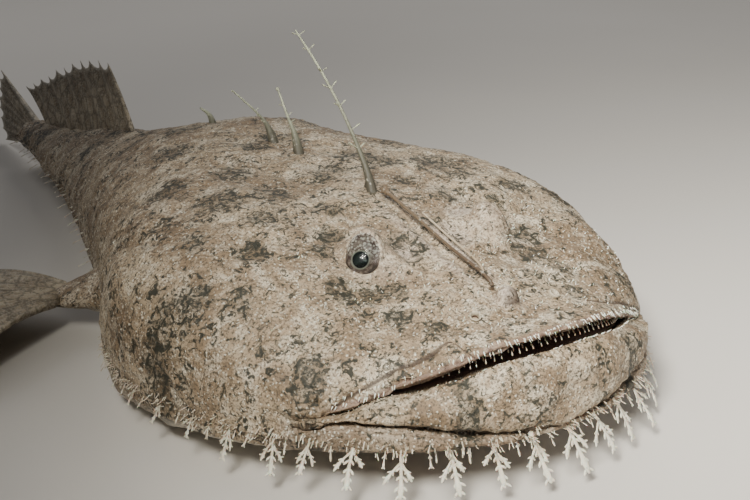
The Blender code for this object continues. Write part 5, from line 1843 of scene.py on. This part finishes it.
low_finish = spine_paint("low_spine_skin", (0.34, 0.26, 0.17), (0.50, 0.42, 0.31))
plain_spine("second_spine", "spine_2", SPINE_2, [0.0010, 0.0007, 0.0006, 0.0005], 0, 2, 0, 2, low_finish)
plain_spine("fourth_spine", "spine_4", SPINE_4, [0.0036, 0.0027, 0.0014, 0.0009, 0.0007, 0.0006], 0.012, 4,
            0.0012, 3, spine_finish)
plain_spine("fifth_spine", "spine_5", SPINE_5, [0.0036, 0.0027, 0.0013, 0.0008, 0.0006, 0.0005], 0.012, 4,
            0.0008, 4, spine_finish)
plain_spine("sixth_spine", "spine_6", SPINE_6, [0.0030, 0.0020, 0.0012, 0.0006], 0.008, 2, 0, 6, spine_finish)

# %% [markdown]
# ## Nostrils
# The nostrils stand on short stalks in front of the eyes, each widening to a cup. A lathe makes the cup
# and its wall in one closed turn.

# %% Nostril stalks
NOSTRIL_PLACE = np.array([0.0306, 0.0532, 0.0935]) * FISH_LENGTH
NOSTRIL_PROFILE = [
    (0, -0.006), (0.0022, -0.006), (0.0020, -0.001), (0.0020, 0.002), (0.0024, 0.0036), (0.0029, 0.0046),
    (0.0030, 0.0054), (0.0026, 0.0058), (0.0020, 0.0050), (0.0015, 0.0020), (0, -0.001),
]


def nostrils():
    heap = Heap()
    points, faces = turned(rounded(NOSTRIL_PROFILE, 1), 24)
    points = np.array(points)
    # Painted shade: the inside of each cup gets the darkest paint. The stalk's paint also darkens towards its
    # foot.
    inside = (points[:, 2] > -0.002) & (np.hypot(points[:, 0], points[:, 1]) < 0.0018)
    shade = np.where(inside, 0.0, np.clip(0.4 + points[:, 2] / 0.01, 0, 1))
    for hand in (-1, 1):
        turn = Vector((hand * 0.25, -0.45, 0.86)).to_track_quat("Z", "Y").to_matrix()
        place = NOSTRIL_PLACE * MIRROR[hand]
        heap.add(points @ np.array(turn).T + place, faces, place, shade)
    return heap


nostrils().piece("nostrils", spine_paint("nostril_skin", (0.06, 0.03, 0.02), (0.48, 0.42, 0.32)), "skin")

# %% [markdown]
# ## Fins
# A goosefish's fins are thick and fleshy: rods of bone or gristle, the rays, with skin between them. The
# edge dips between the rays and their tips stand free. Each fin is one closed sheet, thick over the rays
# and thin between, made from the lines of its rays, so that the web always hangs between its rays.

# %% A webbed fin
FIN_CLEARANCE = 0.0004


def straight_ray(root, tip, lift=0.0):
    """A ray from root to tip that rises by the lift half way."""
    root = np.asarray(root, float)
    tip = np.asarray(tip, float)
    return lambda t: root + (tip - root) * t + np.array([0, 0, 4 * lift * t * (1 - t)])


def webbed_fin(name, rays, thick_ray, thick_web, web_reach, rows, between, ripple, node):
    """A closed sheet through the rays. A thickness is its size at the foot, its loss, and how fast."""
    columns = []
    for k in range(len(rays) - 1):
        for s in np.arange(between) / between:
            reach = 1 - (1 - web_reach) * sin(pi * s) ** 0.6
            columns.append((k, s, reach, ripple * sin(pi * s) * (1 if k % 2 else -1)))
    columns.append((len(rays) - 2, 1.0, 1.0, 0.0))
    on_ray = np.array([[exp(-(min(s, 1 - s) / 0.20) ** 2)] for _, s, _, _ in columns])
    share = np.linspace(0, 1, rows + 1)
    grid = np.empty((len(columns), rows + 1, 3))
    for c, (k, s, reach, _) in enumerate(columns):
        for r, t in enumerate(share * reach):
            grid[c, r] = rays[k](t) * (1 - s) + rays[k + 1](t) * s
    across = np.gradient(grid, axis=0)
    along = np.gradient(grid, axis=1)
    normal = np.cross(across, along)
    normal /= np.linalg.norm(normal, axis=2)[:, :, None] + 1e-12
    waves = np.array([c[3] for c in columns])[:, None] * share[None] ** 0.8
    grid = grid + normal * waves[:, :, None]
    ray, web = (foot - loss * np.minimum(1.0, fast * share) for foot, loss, fast in (thick_ray, thick_web))
    edge = np.sqrt(np.clip(1 - ((share - 0.94) / 0.06).clip(0, 1) ** 2, 0.02, 1))
    depth = (web * (1 - on_ray) + ray * on_ray) / 2 * edge
    points, faces = closed_sheet(grid, normal * depth[:, :, None])
    points[:, 2] = np.maximum(points[:, 2], FIN_CLEARANCE)
    fin = new_piece(name, points, faces)
    for mark_name, mark in (("along", share[None]), ("on_ray", on_ray)):
        give_mark(fin, mark_name, np.tile(np.broadcast_to(mark, depth.shape).ravel(), 2))
    tidy_mesh(fin)
    fin.data.shade_smooth()
    fin.data.materials.append(fin_finish)
    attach(fin, "root")
    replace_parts(fin, node)
    print(name, "faces", len(fin.data.polygons))


def fin_paint():
    p = Paint("fin_skin", 0.55, (0.33, 0.29, 0.22))
    along = p.mark("along")
    base = p.mix(p.limit(p.grain(0.020, 4, 0.6, 0.5), 0.35, 0.68), (0.235, 0.18, 0.115), (0.44, 0.37, 0.27))
    darker = p.mix(p.limit(along, 0.35, 1.0, 0.0, 0.7), base, (0.115, 0.085, 0.055))
    rays = p.mix(p.times(p.mark("on_ray"), 0.40), darker, (0.56, 0.49, 0.38))
    loose = p.warped(0.010, 0.005)
    net = p.limit(p.cells(0.012, "DISTANCE_TO_EDGE", loose), 0.14, 0.02)
    blots = p.limit(p.grain(0.0070, 4, 0.62, 1.4), 0.53, 0.62)
    marks = p.mix(p.times(p.larger(net, blots), 0.55), rays, (0.05, 0.045, 0.03))
    edge = p.mix(p.limit(along, 0.90, 0.99, 0.0, 0.5), marks, (0.60, 0.56, 0.48))
    grains = p.limit(p.cells(0.0018), 0.6, 0.1)
    speckled = p.mix(p.times(grains, 0.30), edge, (0.62, 0.57, 0.48))
    lumps_bump = p.bump(p.grain(0.006, 3), 0.0010, 0.5)
    return p.finish(speckled, normal=p.bump(grains, 0.0006, 0.8, lumps_bump))


fin_finish = fin_paint()
print("fin paint mixed")

# %% Tail fin, back fin and the fin under the tail
CAUDAL_RAYS = 8
DORSAL_RAYS = 11
ANAL_RAYS = 9


def skin_level(x, y, sense=1):
    """Level of the skin over, or with sense -1 under, a place."""
    hit = skin_surface.ray_cast(Vector((x, y, sense * FISH_LENGTH)), Vector((0, 0, -sense)))[0]
    return hit.z


def shares(count):
    """Each ray's share of the way across its fin, from 0 to 1."""
    return [k / (count - 1) for k in range(count)]


def caudal_ray(share):
    spread_out = 2 * share - 1
    root = np.array([0, TAIL_BACK - 0.003, (0.023 + 0.026 * share) * FISH_LENGTH])
    tip = np.array([0.004 * FISH_LENGTH * sin(2.2 * share),
                    TAIL_BACK + (0.128 - 0.020 * spread_out ** 2) * FISH_LENGTH,
                    (0.046 + 0.042 * spread_out) * FISH_LENGTH])
    return straight_ray(root, tip)


def dorsal_ray(share):
    y = (0.605 + 0.225 * share) * FISH_LENGTH
    z = skin_level(0, y) - 0.002
    tall = 0.088 * FISH_LENGTH * (0.62 + 0.38 * sin(pi * (0.25 + 0.6 * share)))
    lean = radians(50 - 22 * share)
    sway = 0.006 * FISH_LENGTH * sin(3 * share)
    tip = (sway, y + tall * cos(lean), z + tall * sin(lean))
    return straight_ray((0, y, z), tip, 0.004 * FISH_LENGTH)


def anal_ray(share):
    y = (0.650 + 0.150 * share) * FISH_LENGTH
    z = skin_level(0, y, -1) + 0.0015
    tip = (0.0, y + 0.040 * FISH_LENGTH, 0.0026 + 0.003 * FISH_LENGTH * share)
    return straight_ray((0, y, z), tip, -0.0008 * FISH_LENGTH)


webbed_fin("tail_fin", [caudal_ray(s) for s in shares(CAUDAL_RAYS)], (0.0072, 0.0060, 1),
           (0.0058, 0.0050, 1.5), 0.93, 44, 12, 0.0008, "caudal_fin")
webbed_fin("back_fin", [dorsal_ray(s) for s in shares(DORSAL_RAYS)], (0.0034, 0.0026, 1),
           (0.0018, 0.0012, 1), 0.86, 34, 10, 0.0012, "dorsal_fin")
webbed_fin("under_fin", [anal_ray(s) for s in shares(ANAL_RAYS)], (0.0028, 0.0020, 1),
           (0.0015, 0.0009, 1), 0.88, 20, 8, 0.0005, "anal_fin")

# %% Pectoral and pelvic fins
PECTORAL_RAYS = 20
PELVIC_RAYS = 5


def pectoral_ray(hand, share):
    end = ARM_END * MIRROR[hand]
    ahead = end - ARM_START * MIRROR[hand]
    ahead /= np.linalg.norm(ahead)
    across = np.cross(ahead, (0, 0, 1))
    across *= hand / np.linalg.norm(across)
    spread_out = 2 * share - 1
    root = end - across * spread_out * 0.019 * FISH_LENGTH - ahead * 0.006
    turn = radians(-38 + 112 * share)
    reach = (0.165 - 0.022 * spread_out ** 2) * FISH_LENGTH
    tip = np.array([end[0] + hand * reach * cos(turn), end[1] + reach * sin(turn),
                    0.006 * FISH_LENGTH + 0.012 * FISH_LENGTH * (1 - share)])
    return straight_ray(root, tip, 0.010 * FISH_LENGTH)


def throat_level(x, y):
    angle, radius = head_angle(np.array([[x, y]]))
    return float(under_height(angle[0], radius)[0])


def pelvic_ray(hand, share):
    """A ray that starts against the throat and comes down to the floor."""
    root = np.array([hand * (0.040 + 0.022 * share), 0.150 + 0.016 * share]) * FISH_LENGTH
    turn = radians(100 - 62 * share)
    reach = (0.060 + 0.010 * sin(pi * share)) * FISH_LENGTH
    tip = root + np.array([hand * reach * cos(turn), -reach * sin(turn)])

    def line(t):
        x, y = root + (tip - root) * t
        return np.array([x, y, (throat_level(x, y) - 0.0024) * (1 - t) + 0.0018 * t])
    return line


for hand, side_name in ((1, "left"), (-1, "right")):
    pectoral = [pectoral_ray(hand, share) for share in shares(PECTORAL_RAYS)]
    pelvic = [pelvic_ray(hand, share) for share in shares(PELVIC_RAYS)]
    webbed_fin("pectoral_fan_" + side_name, pectoral, (0.0058, 0.0046, 1), (0.0044, 0.0036, 1.8),
               0.93, 40, 8, 0.0006, "pectoral_fin_" + side_name)
    webbed_fin("pelvic_fan_" + side_name, pelvic, (0.0040, 0.0024, 1), (0.0026, 0.0016, 1),
               0.88, 18, 8, 0.0004, "pelvic_fin_" + side_name)

# %% [markdown]
# ## Flaps along the body and tail
# Smaller flaps of the same kind run along each side of the body to the tail fin, at the widest level of
# each cross section.

# %% Side flaps
SIDE_FLAP_COUNT = 34


def side_flaps():
    draw = random.Random(13)
    heap = Heap()
    for k in range(SIDE_FLAP_COUNT):
        y = (0.425 + 0.0128 * k + draw.uniform(-0.002, 0.002)) * FISH_LENGTH
        if y > TAIL_BACK - 0.006:
            continue
        width, _, level = station(y)[:3]
        for hand in (-1, 1):
            root = on_skin((hand * width, y, level))[0]
            size = (0.010 if k % 2 else 0.006) * draw.uniform(0.8, 1.15)
            out = np.array([hand, 0.25, 0]) / hypot(1, 0.25)
            strokes = branched_flap(draw, size, 1 if k % 3 == 0 else 0, 1 + k % 2)
            droop = 0.35 + draw.uniform(-0.15, 0.2)
            hang_flap(heap, root - out * 0.0008, out, strokes, droop, 4, 0.34)
    return heap


side_flaps().piece("side_flaps", fringe_finish, "skin")

# %% [markdown]
# ## Floor and light
# The fish lies on a plain pale floor. A soft lamp above and beside the camera, narrowed a little, lights
# the face as the photograph shows it. Wide lamps in front and behind keep every other side readable.

# %% Floor
FLOOR_SIZE = 14.0


def make_floor():
    mesh = bpy.data.meshes.new("floor")
    half = FLOOR_SIZE / 2
    corners = [(-half, -half, 0), (half, -half, 0), (half, half, 0), (-half, half, 0)]
    mesh.from_pydata(corners, [], [(0, 1, 2, 3)])
    floor = add_object("floor", mesh)
    p = Paint("pale_floor", 0.9)
    floor.data.materials.append(p.finish(p.mix(p.grain(0.4, 2), (0.60, 0.57, 0.53), (0.66, 0.63, 0.59))))


make_floor()
print("floor", FLOOR_SIZE, "m wide")

# %% Lamps
def lamp(name, place, target, size, watts, colour, spread=pi):
    data = bpy.data.lights.new(name, "AREA")
    data.shape = "DISK"
    data.size = size
    data.energy = watts
    data.spread = spread
    data.color = colour
    light = add_object(name, data)
    light.location = place
    light.rotation_euler = (Vector(target) - Vector(place)).to_track_quat("-Z", "Y").to_euler()


lamp("key", (-0.50, -0.72, 0.74), (0.27, -0.38, 0.06), 0.34, 3.5, (1.0, 0.97, 0.88), radians(58))
lamp("fill", (0.75, -1.5, 0.6), (0.05, -0.2, 0.05), 1.2, 7.2, (0.98, 0.97, 0.93))
lamp("rim", (-0.3, 1.3, 1.2), (0, 0, 0.05), 0.9, 4, (1.0, 1.0, 1.0))
lamp("far_side", (1.3, 1.1, 1.3), (0.1, 0.2, 0.05), 1.4, 9, (1.0, 0.99, 0.97))
world = bpy.data.worlds.new("studio")
bpy.context.scene.world = world
world.use_nodes = True
sky = world.node_tree.nodes["Background"].inputs
sky["Color"].default_value = (0.62, 0.62, 0.64, 1)
sky["Strength"].default_value = 0.10
print("lamps placed")
